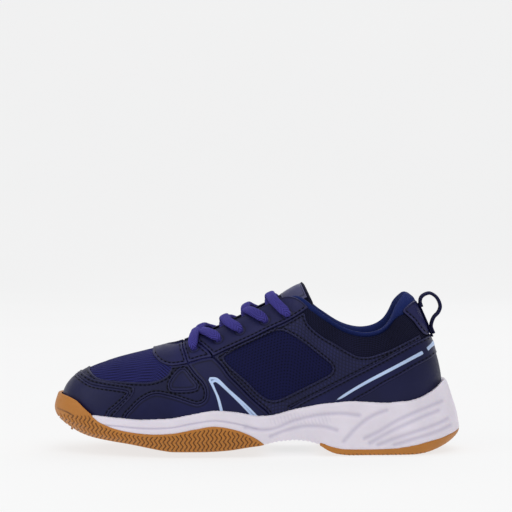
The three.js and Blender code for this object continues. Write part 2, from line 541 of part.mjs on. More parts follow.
// ---- upper: knit shell ----------------------------------------------------------------
const shell = punch(ring(constant(MESH_IN), constant(MESH_OUT), shellTop));
add('vamp_mesh', shell.intersect(prism(front(-6, -60))), 0x1c1f45, 0.9);
const windowField = [[-5.6, 0], [-17, 29.6], [-28, 60], [-36, 81], [21.5, 103], [40, 85], [62, 70],
  [62, 58], [16, 29.6], [12, 0]];
const rear = shell.subtract(prism(front(-6 + 2 * GAP, -60 + 2 * GAP)));
for (const side of sides) {
  add(`window_mesh_${side.name}`, rear.intersect(prism(windowField, side.y0, side.y1)), 0x23284f, 0.9);
  const collar = rear.subtract(prism(grow(windowField, GAP)));
  add(`collar_mesh_${side.name}`, collar.intersect(prism(front(175, 175), side.y0, side.y1)),
    0x14162e, 0.95);
}

// ---- upper: overlays --------------------------------------------------------------------
const layer = punch(ring(constant(OVERLAY_IN), constant(OVERLAY_OUT), shellTop));
const navy = 0x1b1e42;
add('vamp_tab', layer.intersect(prism(vampTabOutline)), navy, 0.55);
add('mudguard', layer.intersect(prism(mudguardOutline)).subtract(prism(mudguardWindow)), navy, 0.55);
for (const side of sides) {
  const cut = (outline) => layer.intersect(prism(outline, side.y0, side.y1));
  add(`eyestay_front_${side.name}`, cut(eyestayFrontOutline), navy, 0.5);
  add(`eyestay_${side.name}`, cut(eyestayOutline), navy, 0.5);
  add(`side_panel_${side.name}`, cut(sidePanelOutline).subtract(prism(grow(mudguardOutline, GAP))), navy,
    0.5);
  add(`quarter_frame_${side.name}`, cut(quarterOutline).subtract(prism(quarterWindow)), navy, 0.55);
}
add('heel_counter', layer.intersect(prism(heelCounterOutline)), navy, 0.5);

const trim = ring(constant(TRIM_IN), constant(TRIM_OUT));
add('toe_rim', trim.intersect(prism(toeRimOutline)).subtract(prism(grow(toeCapOutline, GAP))), navy, 0.5);
add('toe_cap', trim.intersect(prism(toeCapOutline)), navy, 0.45);
add('heel_strap', trim.intersect(prism(heelStrapOutline)), navy, 0.45);
add('heel_tab', ring(constant(TRIM_IN), constant(TRIM_OUT), shellTop)
  .intersect(prism(heelTabOutline)), navy, 0.45);
const stripeShell = ring(constant(STRIPE_IN), constant(STRIPE_OUT));
add('heel_stripe', stripeShell.intersect(prism(heelStripeOutline)), 0xb6c9ec, 0.5);
const sideStripeShell = ring(constant(TRIM_IN), constant(TRIM_IN + STRIPE));
for (const side of sides) {
  add(`side_stripe_${side.name}`, sideStripeShell.intersect(prism(sideStripeOutline, side.y0, side.y1)),
    0xb6c9ec, 0.5);
}

// ---- tongue -----------------------------------------------------------------------------
const tongueCurve = openCurve(tongueLine.map(([x, z]) => new THREE.Vector3(x * SX, CENTRE_Y - 2 * SY, z * SZ)));

function tonguePoint(along, across, depth, narrow = 0) {
  const taper = 1 - 0.16 * smooth(along, 0.66, 1);
  const half = (TONGUE_HALF_WIDTH - narrow) * SY * taper;
  const drop = THREE.MathUtils.lerp(TONGUE_DROP, TONGUE_TOP_DROP, smooth(along, 0.7, 1));
  const place = tongueCurve.getPoint(along);
  const tangent = tongueCurve.getTangent(along);
  const up = new THREE.Vector3(-tangent.z, 0, tangent.x).normalize();
  const y = half * across;
  return place.addScaledVector(up, -drop * y * y - depth).setY(place.y + y);
}

function tonguePiece(from, to, depth0, depth1, narrow, rows) {
  const at = (u, v, w) => tonguePoint(THREE.MathUtils.lerp(from, to, u), THREE.MathUtils.lerp(-1, 1, v),
    w < 0.5 ? depth0 : depth1, narrow);
  return solid([
    patch((u, v) => at(u, v, 0), rows, 6),
    patch((u, v) => at(u, v, 1), rows, 6, true),
    patch((u, v) => at(u, 0, v), rows, 1, true),
    patch((u, v) => at(u, 1, v), rows, 1),
    patch((u, v) => at(0, u, v), 6, 1),
    patch((u, v) => at(1, u, v), 6, 1, true),
  ]);
}

const FOAM_TOP = TONGUE_FACE + GAP;
const FOAM_BOTTOM = FOAM_TOP + TONGUE_FOAM;
const HINGE_GAP = 0.004;
const below = TONGUE_HINGE - HINGE_GAP;
const above = TONGUE_HINGE + HINGE_GAP;
const tongueLayers = [
  ['face', 0, TONGUE_FACE, 0, 0x1a1c3c],
  ['foam', FOAM_TOP, FOAM_BOTTOM, 0, 0xe6dfc8],
  ['lining', FOAM_BOTTOM + GAP, FOAM_BOTTOM + GAP + TONGUE_FACE, 0, 0x2c3a72],
];
for (const [name, outer, inner, narrow, colour] of tongueLayers) {
  add(`tongue_${name}`, tonguePiece(0, below, outer, inner, narrow, 7), colour, 0.9);
  add(`tongue_top_${name}`, tonguePiece(above, 1, outer, inner, narrow, 3), colour, 0.9);
}
add('tongue_top_patch', tonguePiece(0.83, 0.985, -TRIM - 2 * GAP, -2 * GAP, 5, 3), 0x5c5c7a, 0.5);

// ---- sockliner ----------------------------------------------------------------------------
const sockBase = BOARD_LIFT + STROBEL_BOARD + 3 * GAP;
add('sockliner', plate(BOARD_INSET, sockBase, sockBase + INSOLE, INSOLE_CUP), 0x26306a, 0.95);

// ---- lace ---------------------------------------------------------------------------------
function tube(points, diameter, steps, sidesRound = 8) {
  const curve = new THREE.CatmullRomCurve3(points, false, 'centripetal');
  const section = new THREE.Shape(Array.from({ length: sidesRound }, (_, k) => {
    const angle = (2 * Math.PI * k) / sidesRound;
    return new THREE.Vector2(Math.cos(angle), Math.sin(angle)).multiplyScalar(diameter / 2);
  }));
  return solid(new THREE.ExtrudeGeometry(section, { steps, extrudePath: curve, bevelEnabled: false }));
}

const LACE_OVER = OVERLAY_OUT + 2.7 + LACE_DIAMETER / 2;
const LACE_UNDER = -LINING_IN + 0.6 + LACE_DIAMETER / 2;
const laceAt = (side, station, q, offset) => offWall(side.at(station), q, offset);

function crossing(from, to, i, over) {
  // from inside an eyelet, up past the throat's edge, over the tongue and down into the next eyelet
  const t0 = eyeletStations[i];
  const t1 = eyeletStations[i + 1];
  const tm = (t0 + t1) / 2;
  const middle = laceAt(from, tm, 1, 0).add(laceAt(to, tm, 1, 0)).multiplyScalar(0.5);
  middle.z += (over ? 3.6 : 0) + 2.6;
  return [
    laceAt(from, THREE.MathUtils.lerp(t0, t1, 0.2), 0.95, -LACE_UNDER - 0.5),
    middle,
    laceAt(to, THREE.MathUtils.lerp(t0, t1, 0.84), 0.93, LACE_OVER),
    laceAt(to, t1, EYELET_HEIGHT, LACE_OVER),
    laceAt(to, t1, EYELET_HEIGHT, 0),
    laceAt(to, t1, EYELET_HEIGHT, -LACE_UNDER),
  ];
}

function strand(startSide, over) {
  const points = [];
  let from = startSide;
  for (let i = 0; i < eyeletStations.length - 1; i += 1) {
    const to = from === sides[0] ? sides[1] : sides[0];
    points.push(...crossing(from, to, i, over));
    from = to;
  }
  return points;
}

const firstStrand = strand(sides[0], true);
const secondStrand = strand(sides[1], false);
const barEnd = (side) => [
  laceAt(side, eyeletStations[0], EYELET_HEIGHT, -LACE_UNDER),
  laceAt(side, eyeletStations[0], EYELET_HEIGHT, 0),
  laceAt(side, eyeletStations[0], EYELET_HEIGHT, LACE_OVER),
  laceAt(side, eyeletStations[0], 0.93, LACE_OVER),
];
const barMiddle = laceAt(sides[0], eyeletStations[0], 1, 0)
  .add(laceAt(sides[1], eyeletStations[0], 1, 0)).multiplyScalar(0.5);
barMiddle.z += 6;
const bar = [...barEnd(sides[0]), barMiddle, ...barEnd(sides[1]).reverse()];
const laced = [...[...firstStrand].reverse(), ...bar, ...secondStrand];
add('lace', tube(laced, LACE_DIAMETER, 96, 6), 0x3b3a86, 0.85);


// free ends, tucked down inside the wall towards the toe
const tailRoute = [[7.3, 0.75, 2.6], [7.44, 0.66, 2.6], [7.9, 0.55, 2.6], [8.6, 0.44, 2.8],
  [9.6, 0.38, 2.9], [10.8, 0.35, 2.9], [11.8, 0.35, 3.1], [12.7, 0.36, 3.8]];
const top = eyeletStations[eyeletStations.length - 1];
for (const side of sides) {
  const rear = [
    laceAt(side, top, EYELET_HEIGHT, -LACE_UNDER - GAP),
    laceAt(side, top, EYELET_HEIGHT, -LACE_UNDER - GAP - 1.2),
    ...tailRoute.map(([t, q, deep]) => laceAt(side, t, q, LINING_IN - deep)),
  ];
  add(`lace_tail_${side.name}`, tube(rear, LACE_DIAMETER, 34, 8), 0x3b3a86, 0.85);
  const tip = rear[rear.length - 1];
  const way = tip.clone().sub(rear[rear.length - 2]).normalize();
  const aglet = new THREE.CylinderGeometry(LACE_DIAMETER / 2 - AGLET_WALL, LACE_DIAMETER / 2 - AGLET_WALL,
    AGLET_LENGTH, 8);
  aglet.applyQuaternion(new THREE.Quaternion().setFromUnitVectors(new THREE.Vector3(0, 1, 0), way));
  const centre = tip.clone().addScaledVector(way, GAP + AGLET_LENGTH / 2);
  aglet.translate(centre.x, centre.y, centre.z);
  add(`aglet_${side.name}`, solid(aglet), 0x50508c, 0.3);
}

// ---- pull tab at the heel --------------------------------------------------------------------
function band(route, thickness, width) {
  // webbing: a line in side elevation given its thickness and carried across its width
  const line = new THREE.SplineCurve(route.map(([x, z]) => new THREE.Vector2(x * SX, z * SZ)));
  const count = 3 * (route.length - 1);
  const edge = (side) => Array.from({ length: count + 1 }, (_, k) => {
    const tangent = line.getTangent(k / count);
    return line.getPoint(k / count)
      .add(new THREE.Vector2(-tangent.y, tangent.x).multiplyScalar((side * thickness) / 2));
  });
  const shape = new THREE.Shape([...edge(1), ...edge(-1).reverse()]);
  const geometry = new THREE.ExtrudeGeometry(shape, { depth: width, bevelEnabled: false });
  geometry.rotateX(Math.PI / 2);
  geometry.translate(0, CENTRE_Y + width / 2, 0);
  return solid(geometry);
}

const tabFace = TRIM_OUT + GAP + TAB_THICKNESS / 2;
const onHeel = (q, offset) => {
  const place = offWall(0, q, offset);
  return [place.x / SX, place.z / SZ];
};
const anchorRoute = [0.64, 0.72, 0.8, 0.88].map((q) => onHeel(q, tabFace));
add('pull_tab_anchor', band(anchorRoute, TAB_THICKNESS, TAB_WIDTH), 0x23264a, 0.9);
const loopSeat = GAP + TAB_THICKNESS / 2 + 0.3;
const loopRoute = [
  onHeel(0.935, TRIM_OUT + loopSeat), [122, 113], [125, 114.6], [128.4, 114.6], [131.6, 112.6],
  [134.2, 109.2], [136.6, 105], [136.8, 101.8], [134.4, 99.6], [131.6, 98.6],
  onHeel(0.755, tabFace + TAB_THICKNESS / 2 + loopSeat - 0.6),
];
add('pull_tab', band(loopRoute, TAB_THICKNESS, TAB_WIDTH), 0x23264a, 0.9);

export default parts;
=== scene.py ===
import logging
from collections.abc import Callable, Sequence
from dataclasses import dataclass
from enum import Enum

import bmesh
import bpy
import numpy as np
from mathutils import Euler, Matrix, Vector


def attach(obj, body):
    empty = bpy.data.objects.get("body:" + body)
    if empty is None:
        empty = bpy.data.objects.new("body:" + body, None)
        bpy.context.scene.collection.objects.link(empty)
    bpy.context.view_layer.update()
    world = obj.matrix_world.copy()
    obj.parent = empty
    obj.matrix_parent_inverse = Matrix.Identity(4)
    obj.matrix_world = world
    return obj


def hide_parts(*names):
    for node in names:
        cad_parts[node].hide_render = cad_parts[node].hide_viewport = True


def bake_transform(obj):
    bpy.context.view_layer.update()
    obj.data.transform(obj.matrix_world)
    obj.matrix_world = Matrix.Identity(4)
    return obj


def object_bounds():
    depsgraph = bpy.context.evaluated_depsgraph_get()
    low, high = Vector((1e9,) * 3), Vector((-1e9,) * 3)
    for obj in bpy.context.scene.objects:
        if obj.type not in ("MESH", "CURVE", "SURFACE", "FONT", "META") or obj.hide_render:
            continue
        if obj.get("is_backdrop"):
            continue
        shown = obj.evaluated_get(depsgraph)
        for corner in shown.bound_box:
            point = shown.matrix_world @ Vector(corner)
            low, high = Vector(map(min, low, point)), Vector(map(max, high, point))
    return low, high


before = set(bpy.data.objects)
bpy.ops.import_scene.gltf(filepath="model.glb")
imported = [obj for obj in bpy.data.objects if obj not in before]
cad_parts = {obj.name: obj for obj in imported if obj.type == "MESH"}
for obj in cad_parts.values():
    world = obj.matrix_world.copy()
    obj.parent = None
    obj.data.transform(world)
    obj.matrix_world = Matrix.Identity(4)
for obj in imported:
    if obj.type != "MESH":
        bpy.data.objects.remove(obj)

CAD_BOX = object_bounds()
LOG = logging.getLogger("court_shoe")
MM = 0.001
STATIONS, RING, THROAT = 17, 34, 12
Array = np.ndarray
Region = Callable[[Array, Array, Array], Array]
Relief = Callable[[Array, Array, Array, Array], Array]
Colour = tuple[float, float, float, float]
Outline = Sequence[Sequence[float]]
Socket = bpy.types.NodeSocket
MIDDLE_Y = 3.5  # the foot's middle plane, off the frame's own because the shoe curves inwards
CLOTH_MARKS = 1021

# ---- tables of the last and the sole ----
FEATHER_X = (134, 129, 117, 101, 82, 62, 42, 22, 2, -18, -38, -58, -78, -97, -114, -128, -138, -142.5)
FEATHER_Z = (31, 31, 30.5, 30, 30, 30, 28.5, 26.5, 24.5, 22, 20, 19, 19.5, 21, 24, 27.5, 30.5, 32)
FEATHER_LATERAL = (3.5, -11.5, -24, -30.5, -33.5, -35.5, -37, -39, -42, -45, -47, -46.5, -43.5, -38.5,
                   -31, -21, -8.5, 6)
FEATHER_MEDIAL = (3.5, 18, 29.5, 34.5, 36, 35.5, 34, 33.5, 35.5, 39, 43, 46, 46.5, 43.5, 37.5, 28.5, 19, 6)
TOP_X = (114, 111, 103.5, 94, 80, 64, 48, 29, 9, -11, -31, -55, -67, -84, -99, -107.5, -110.8, -112)
TOP_Z = (113.5, 113.5, 106.5, 93, 88.5, 92, 102, 115, 107.5, 97.5, 88, 78.5, 76.3, 72, 68.2, 65.6,
         64.4, 64)
TOP_LATERAL = (3.5, -8.5, -19, -26, -29, -29, -26.5, -21.5, -17, -16, -15.2, -13, 0.5, 1.5, 2, 2.7, 2.9, 3)
TOP_MEDIAL = (3.5, 15.5, 26, 31.5, 33.5, 32.5, 29.5, 24.5, 20, 18.5, 17.5, 15, 0.5, 1.5, 2, 2.7, 2.9, 3)
RISE_X = (0.28, 0.24, 0.1, 0, 0, 0, 0, 0, 0, 0, 0, 0, 0, 0, -0.03, -0.07, -0.1, -0.12)
RISE_OUT = (0, 0.1, 0.16, 0.16, 0.14, 0.1, 0.06, 0.05, 0.05, 0.06, 0.08, 0.1, 0.1, 0.1, 0.09, 0.06, 0.03, 0)
RISE_UP = (0.96, 0.96, 0.98, 0.98) + (0.99,) * 14
RISE_REACH = (26, 25, 23, 21, 20, 21, 25, 30, 32, 30, 27, 24, 21, 19, 17, 16, 16, 16)
CLOSE_X = (-0.42, -0.38, -0.2) + (0,) * 10
CLOSE_IN = (0, 0.15, 0.25, 0.22, 0.2, 0.22, 0.3, 0.5, 0.78, 0.85, 0.88, 0.95, 1)
CLOSE_UP = (0.9, 0.9, 0.95, 0.97, 0.98, 0.97, 0.95, 0.87, 0.62, 0.52, 0.47, 0.3, 0)
CLOSE_REACH = (24, 22, 19, 16, 16, 17, 20, 24, 22, 20, 18, 18, 26)
RIDGE_TURN = (0, 0, 4, 26, 58, 90)
RIDGE_REACH = (26, 27, 26, 25, 23, 20)
SOLE_X = (150, 146.5, 134, 116, 98, 80, 60, 40, 20, 0, -20, -40, -62, -84, -105, -126, -143, -150)
SOLE_LATERAL = (3.5, -12, -27, -36, -39, -40, -41.5, -43.5, -46, -49, -51.5, -53, -53, -49.5, -42.5,
                -31.5, -15, 4.5)
SOLE_MEDIAL = (3.5, 19.5, 33.5, 40.5, 42, 41.5, 40, 39.5, 39.5, 41.5, 44.5, 48.5, 52.2, 53, 49.5, 41.5,
               27.5, 4.5)
UNDER_CUT = (6, 5, 4, 3, 3, 3, 3, 3, 3, 3, 3, 3, 3, 4, 6, 9, 12, 13)
TOP_CUT = (9.5, 8.5, 6, 3.5, 2, 1.2, 0.8, 0.6, 0.4, 0.6, 0.6, 0.6, 0.8, 1, 1.5, 2, 2.5, 3)
WIDEST_AT = (0.18, 0.2, 0.25, 0.3, 0.35, 0.4, 0.45, 0.5, 0.5, 0.5, 0.5, 0.5, 0.5, 0.5, 0.5, 0.55, 0.6, 0.6)
GROUND_LINE = ((-160, 27), (-150, 23), (-144, 18.5), (-136, 15.5), (-130, 13.8), (-114, 10), (-100, 6.7),
               (-85, 3.8), (-70, 1.2), (-62, 0), (-37, 0), (-28, 0.4), (-18, 1.2), (-8, 2.8), (2, 5.8),
               (8, 8.6), (16, 10.4), (28, 11.2), (38, 10), (46, 7.4), (52, 3.2), (58, 0.9), (66, 0),
               (116, 0), (124, 1), (133, 3.6), (142, 7), (150, 11), (160, 16))
BITE_LINE = ((-160, 44), (-146, 42.4), (-138, 40.9), (-131, 38.3), (-128, 35), (-123, 31.2), (-119, 28.2),
             (-113, 28), (-99, 27), (-84, 26.2), (-62, 27.4), (-48, 30.2), (-34, 33), (-26, 33.2),
             (-12, 31.6), (1, 28.8), (13, 29.7), (28, 33.8), (46, 37.2), (68, 39.2), (93, 37.5),
             (111, 38.6), (119, 40.3), (127, 43.8), (133, 47.2), (138, 52), (160, 54))

# ---- seams, drawn in side elevation ----
VAMP_TAB = ((-78, 90), (-77, 75), (-75.5, 71), (-71, 67), (-66, 65), (-60, 64.6), (-50, 66.4),
            (-51.5, 70), (-53, 74), (-54.5, 78), (-56, 90))
MUDGUARD = ((-175, 5), (-175, 75), (-124, 75), (-124, 60), (-121, 57.5), (-116, 54.6), (-110, 53.6),
            (-100, 53), (-85, 52.6), (-77, 53), (-70, 55), (-65, 58), (-63, 61.5), (-62, 64.2),
            (-50, 65.9), (-44.5, 59), (-39, 53.5), (-36.4, 48.5), (-36, 44), (-37.4, 40.5), (-41, 38.3),
            (-44.5, 38.2), (-51, 40.2), (-58, 42.4), (-66, 44.3), (-72, 45), (-77, 44), (-84, 40),
            (-90, 34), (-96, 26), (-98, 5))
MUDGUARD_WINDOW = ((-62.8, 49), (-62.6, 53), (-58.6, 59), (-55, 62.2), (-52, 61.8), (-47.6, 56.6),
                   (-43, 51.4), (-43.6, 49), (-48, 47.8), (-57, 47.4), (-61.5, 47.8))
TOE_RIM = ((-175, 5), (-175, 75), (-131.5, 75), (-131, 58.5), (-125, 56), (-119, 54), (-106, 52),
           (-92, 50.6), (-88.4, 48.4), (-89.4, 44), (-94, 38.5), (-100, 32), (-105, 24), (-106, 5))
TOE_CAP = ((-175, 5), (-175, 75), (-136.5, 75), (-135, 56.4), (-130, 54), (-122, 50.4), (-114, 49),
           (-102, 47.8), (-94, 46.6), (-92.6, 44.6), (-96, 40.4), (-102, 35), (-108, 28), (-110, 5))
EYESTAY_FRONT = ((-50, 66.9), (-46, 68), (-41, 69.6), (-36, 70.6), (-32.4, 71.2), (-34.4, 74), (-40, 78.4),
                 (-44.6, 82.4), (-50, 100), (-56, 90), (-54, 78), (-52.5, 74), (-51, 70))
EYESTAY = ((-31.8, 71.8), (-23, 76), (-12, 81), (-1, 86), (9, 91), (21, 96.4), (31, 102), (37, 106),
           (43, 108), (50, 110), (46, 128), (10, 128), (-49.5, 100.5), (-44, 82.8), (-39.4, 78.8),
           (-33.8, 74.4))
QUARTER = ((-31.3, 71.3), (-25, 65), (-20, 58.4), (-12, 50.6), (-5, 43.4), (2, 37), (8, 31.5), (14, 22),
           (30, 22), (30, 33), (24, 34.5), (35, 40), (46, 45.4), (57, 51), (68, 56.6), (79, 62), (89, 67),
           (104, 74.6), (113, 79), (121, 82.4), (119.4, 86), (108, 81), (97, 76), (85, 72), (79, 71),
           (73, 71.6), (68, 74), (56, 81), (46, 87), (39, 93), (36, 98), (35, 103.4), (31, 101.4),
           (21, 95.8), (9, 90.4), (-1, 85.4), (-12, 80.4), (-23, 75.4))
QUARTER_WINDOW = ((-23, 68.8), (-24, 71), (-20, 73.8), (-12, 78.2), (2, 84.8), (12, 89.2), (17, 90),
                  (22, 88.6), (32, 82.6), (46, 72), (53, 66), (55, 62.2), (53, 59), (46, 55), (31, 47.6),
                  (21, 42.8), (14, 40.4), (8, 41.2), (1, 46), (-8, 55), (-18, 63.4))
SIDE_PANEL = ((-97.4, 5), (-95.4, 26.4), (-89.4, 34.6), (-83.4, 40.6), (-76.6, 44.6), (-72, 45.6),
              (-65.8, 44.9), (-57.8, 43), (-50.8, 40.8), (-44.4, 38.8), (-41.2, 38.9), (-38, 41),
              (-36.6, 44.2), (-37, 48.6), (-39.6, 53.8), (-45, 59.4), (-49.6, 65.2), (-49, 66.4),
              (-45.8, 67.4), (-40.8, 69), (-35.8, 70), (-32, 70.6), (-25.5, 64.6), (-20.5, 58),
              (-12.5, 50.2), (-5.5, 43), (1.5, 36.6), (7.4, 31.2), (13, 22), (13, 5))
HEEL_COUNTER = ((31, 5), (31, 33.2), (36, 39.6), (46, 44.8), (57, 50.4), (68, 56), (79, 61.4), (89, 66.4),
                (104, 74), (113, 78.4), (122, 82), (150, 92), (160, 60), (160, 5))
HEEL_STRAP = ((24.6, 34.6), (35, 40.6), (46, 46), (57, 51.6), (68, 57.2), (79, 62.6), (89, 67.6),
              (104, 75.2), (113, 79.6), (123, 83.4), (129, 85.2), (150, 92), (150, 78), (133, 71),
              (127, 68), (115, 63), (104, 57), (93, 51.6), (82, 45), (71, 39), (60, 31), (50, 22), (30, 22))
HEEL_TAB = ((100, 135), (108.6, 112), (107.6, 108), (107, 103), (110.6, 100), (115, 96), (118, 92),
            (121, 88.4), (124, 85.8), (129, 86), (150, 93), (150, 135))
HEEL_STRIPE = ((56, 39.2), (62, 43.8), (71, 49.4), (82, 55.6), (93, 61.2), (104, 66.6), (113, 71),
               (121, 74.6), (122.4, 72), (113, 68), (104, 63.7), (93, 58.3), (82, 52.8), (71, 46.8),
               (62, 41.4))
HEEL_STRIPE_BACK = ((124.4, 76.4), (128, 78.8), (131.5, 80.8), (145, 84), (145, 79), (132, 77),
                    (128, 75.4), (126, 73.6))
SIDE_STRIPE = ((-35, 55), (-34, 57.2), (-28, 56.4), (-20, 49), (-12, 42), (-5, 35.4), (2, 28), (-1, 25.4),
               (-8.2, 33.6), (-15.4, 41), (-23.2, 48.4), (-29, 53.2), (-31.4, 53), (-29.4, 48.4),
               (-26.2, 41), (-22.4, 26), (-25, 26), (-28.6, 41.4), (-31.8, 49))
COLLAR_SEAM = ((35, 107), (38, 105), (44, 101.8), (52, 96.6), (60, 91.6), (70, 87.4), (80, 86),
               (88, 87.2), (93, 90), (97, 94), (101.5, 98), (107, 101), (120, 102.4), (160, 102.4),
               (160, 0), (-20, 0), (-20, 103))
GUM_FOREFOOT = ((-175, -10), (-175, 60), (-120.5, 60), (-120, 28.2), (-113, 23.4), (-98, 18.8),
                (-77, 16.6), (-59, 17.6), (-44, 20.5), (-30, 22.4), (-16, 20), (-5, 15.8), (4, 9.8),
                (7, 4), (7, -10))
GUM_HEEL = ((44, -10), (45.6, 9), (48, 8.6), (54, 6.4), (62, 4.6), (74, 4.2), (96, 4.4), (111, 6.2),
            (126, 9.2), (142, 13), (160, 19), (160, -10))
MIDSOLE_GROOVES = (
    ((-116, 22), (-100, 21.6), (-80, 20.6), (-62, 21.4), (-46, 24.4), (-30, 26.4), (-14, 24), (0, 20.2)),
    ((-8, 21.5), (4, 19.4), (14, 20.6), (28, 26), (44, 29.4), (60, 30.5), (74, 29)),
    ((10, 14.5), (20, 18.4), (34, 21.6), (48, 21.2), (58, 18.4)),
    ((63, 10.2), (70, 18), (78, 25), (86, 29.6), (94, 32.4)),
    ((82, 8.8), (90, 13.4), (100, 18.6), (110, 22.8), (122, 27.6), (133, 31)),
    ((78, 12.4), (88, 17), (100, 24), (112, 29.4), (126, 34.4), (136, 37.4)),
    ((88, 7.6), (100, 12), (114, 16.4), (128, 20.4), (140, 24.4)),
    ((100, 7.4), (114, 11.4), (128, 15), (142, 19.4)),
)
TOE_SLOT = ((-147, 31.2), (-140, 29.8), (-134, 27.2))
TONGUE_LINE = ((-78, 66.4), (-67, 70), (-58, 72.6), (-49, 76.6), (-35, 84), (-20, 91.6), (-5, 99.6),
               (8, 107.4), (18, 114.4), (27, 119.8), (34.6, 123.4))
EYELETS = (10.55, 9.8, 9.0, 8.1, 7.3)
EYELET_HEIGHT = 0.8
TAIL_ROUTE = ((7.3, 0.75, 2.6), (7.44, 0.66, 2.6), (7.9, 0.55, 2.6), (8.6, 0.44, 2.8), (9.6, 0.38, 2.9),
              (10.8, 0.35, 2.9), (11.8, 0.35, 3.1), (12.7, 0.36, 3.8))


# ---- lines and surfaces ----
def ramp(value: Array, low: float, high: float) -> Array:
    """Smooth step from 0 at low to 1 at high: 3s^2 - 2s^3 of the clamped share s."""
    share = np.clip((np.asarray(value, float) - low) / (high - low), 0, 1)
    return share * share * (3 - 2 * share)


def unit(vectors: Array) -> Array:
    """Each vector over its own length."""
    return vectors / np.maximum(np.linalg.norm(vectors, axis=-1, keepdims=True), 1e-9)


def both_sides(lateral: Sequence[float], medial: Sequence[float]) -> Array:
    """Stations from heel to toe on the lateral side, then back to the heel on the medial side."""
    return np.array(list(lateral) + list(medial)[1:-1][::-1], float)


def travelled(points: Array) -> Array:
    """Length gone along a row of points, from 0 at the first."""
    return np.concatenate([[0], np.cumsum(np.linalg.norm(np.diff(points, axis=0), axis=1))])


def hermite(f: Array, start: Array, leave: Array, end: Array, arrive: Array) -> Array:
    """Cubic at shares f from start to end, with the slopes leave and arrive there."""
    return ((2 * f**3 - 3 * f**2 + 1) * start + (f**3 - 2 * f**2 + f) * leave
            + (3 * f**2 - 2 * f**3) * end + (f**3 - f**2) * arrive)


@dataclass(frozen=True)
class Line:
    """Smooth line through knots, open or closed."""

    knots: Array
    closed: bool = False

    def at(self, share: Array) -> Array:
        """Points of the line.

        Each span is the cubic that passes a knot along half the chord between the knot's neighbours.

        Args:
            share: places along the line from 0 to 1, of any shape.

        Returns:
            The points, their coordinates last.
        """
        knots, count = self.knots, len(self.knots)
        share = np.asarray(share, float)
        if self.closed:
            place = np.mod(share, 1) * count
            first = np.floor(place).astype(int)
            a, b, c, d = (knots[(first + step) % count] for step in (-1, 0, 1, 2))
        else:
            ends = np.vstack([2 * knots[0] - knots[1], knots, 2 * knots[-1] - knots[-2]])
            place = np.clip(share, 0, 1) * (count - 1)
            first = np.minimum(np.floor(place).astype(int), count - 2)
            a, b, c, d = (ends[first + step] for step in (0, 1, 2, 3))
        f = (place - first)[..., None]
        return 0.5 * (2 * b + (c - a) * f + (2 * a - 5 * b + 4 * c - d) * f**2
                      + (3 * b - a - 3 * c + d) * f**3)


class Seam:
    """Closed or open seam line in side elevation, smooth but for its sharp corners."""

    def __init__(self, corners: Outline, closed: bool = True, spans: int = 5,
                 sharp: float = 48) -> None:
        """Draw the line.

        Between corners it is a cubic whose end slopes are half the chord of the neighbours, or the
        span itself where the line turns by more than the sharp angle.

        Args:
            corners: the line's corners (x, z), in millimetres.
            closed: whether the last corner joins the first.
            spans: straight pieces between two corners.
            sharp: turn in degrees above which a corner stays sharp.
        """
        points = np.array(corners, float)
        after = np.roll(points, -1, 0) - points
        if not closed:
            after[-1] = after[-2]
        before = np.roll(after, 1, 0)
        if not closed:
            before[0] = after[0]
        cosine = np.sum(unit(before) * unit(after), -1)
        hard = (cosine < np.cos(np.radians(sharp)))[:, None]
        mean = 0.5 * (before + after)
        leave, arrive = np.where(hard, after, mean), np.roll(np.where(hard, before, mean), -1, 0)
        f = np.linspace(0, 1, spans, endpoint=False)[None, :, None]
        start, end = points[:, None], np.roll(points, -1, 0)[:, None]
        line = hermite(f, start, leave[:, None], end, arrive[:, None])
        if not closed:
            line = line[:-1]
        self.line = line.reshape(-1, 2) if closed else np.vstack([line.reshape(-1, 2), points[-1:]])
        self.closed = closed

    def distance(self, places: Array) -> Array:
        """Distance to the seam, positive inside a closed one.

        Args:
            places: points (x, z), coordinates last.

        Returns:
            Millimetres: the least distance to any straight piece, signed by how often a level line
            from the point crosses the seam.
        """
        flat = places.reshape(-1, 2)
        heads = np.roll(self.line, -1, 0) if self.closed else self.line[1:]
        tails = self.line if self.closed else self.line[:-1]
        least = np.full(len(flat), np.inf)
        inside = np.zeros(len(flat), bool)
        for tail, way in zip(tails, heads - tails):
            apart = flat - tail
            share = np.clip(apart @ way / max(way @ way, 1e-12), 0, 1)
            gap = apart - share[:, None] * way
            least = np.minimum(least, np.sum(gap * gap, -1))
            if self.closed and way[1] != 0:
                crosses = (apart[:, 1] < 0) != (apart[:, 1] < way[1])
                inside ^= crosses & (apart[:, 0] < way[0] * apart[:, 1] / way[1])
        sign = np.where(inside, 1.0, -1.0) if self.closed else 1.0
        return (np.sqrt(least) * sign).reshape(places.shape[:-1])

    def inset(self, depth: float) -> "Seam":
        """The same seam moved inwards by a depth, its crossings left out."""
        around = np.roll(self.line, -1, 0) - np.roll(self.line, 1, 0)
        normal = unit(np.stack([-around[:, 1], around[:, 0]], -1))
        area = np.sum(self.line[:, 0] * np.roll(self.line[:, 1], -1) - np.roll(self.line[:, 0], -1)
                      * self.line[:, 1])
        moved = self.line + normal * depth * np.sign(area)
        kept = moved[self.distance(moved) * np.sign(depth) > abs(depth) * 0.93]
        return Seam(kept, spans=1)


class Surface:
    """A smooth surface of two parameters, a round the shoe and b up it."""

    def point(self, a: Array, b: Array) -> Array:
        """Places on the surface, in millimetres."""
        raise NotImplementedError

    def normal(self, a: Array, b: Array) -> Array:
        """Outward directions: the way up crossed with the way round, from small steps."""
        raise NotImplementedError

    def offset(self, a: Array, b: Array, depth: Array) -> Array:
        """Places a depth outside the surface."""
        return self.point(a, b) + self.normal(a, b) * np.asarray(depth, float)[..., None]


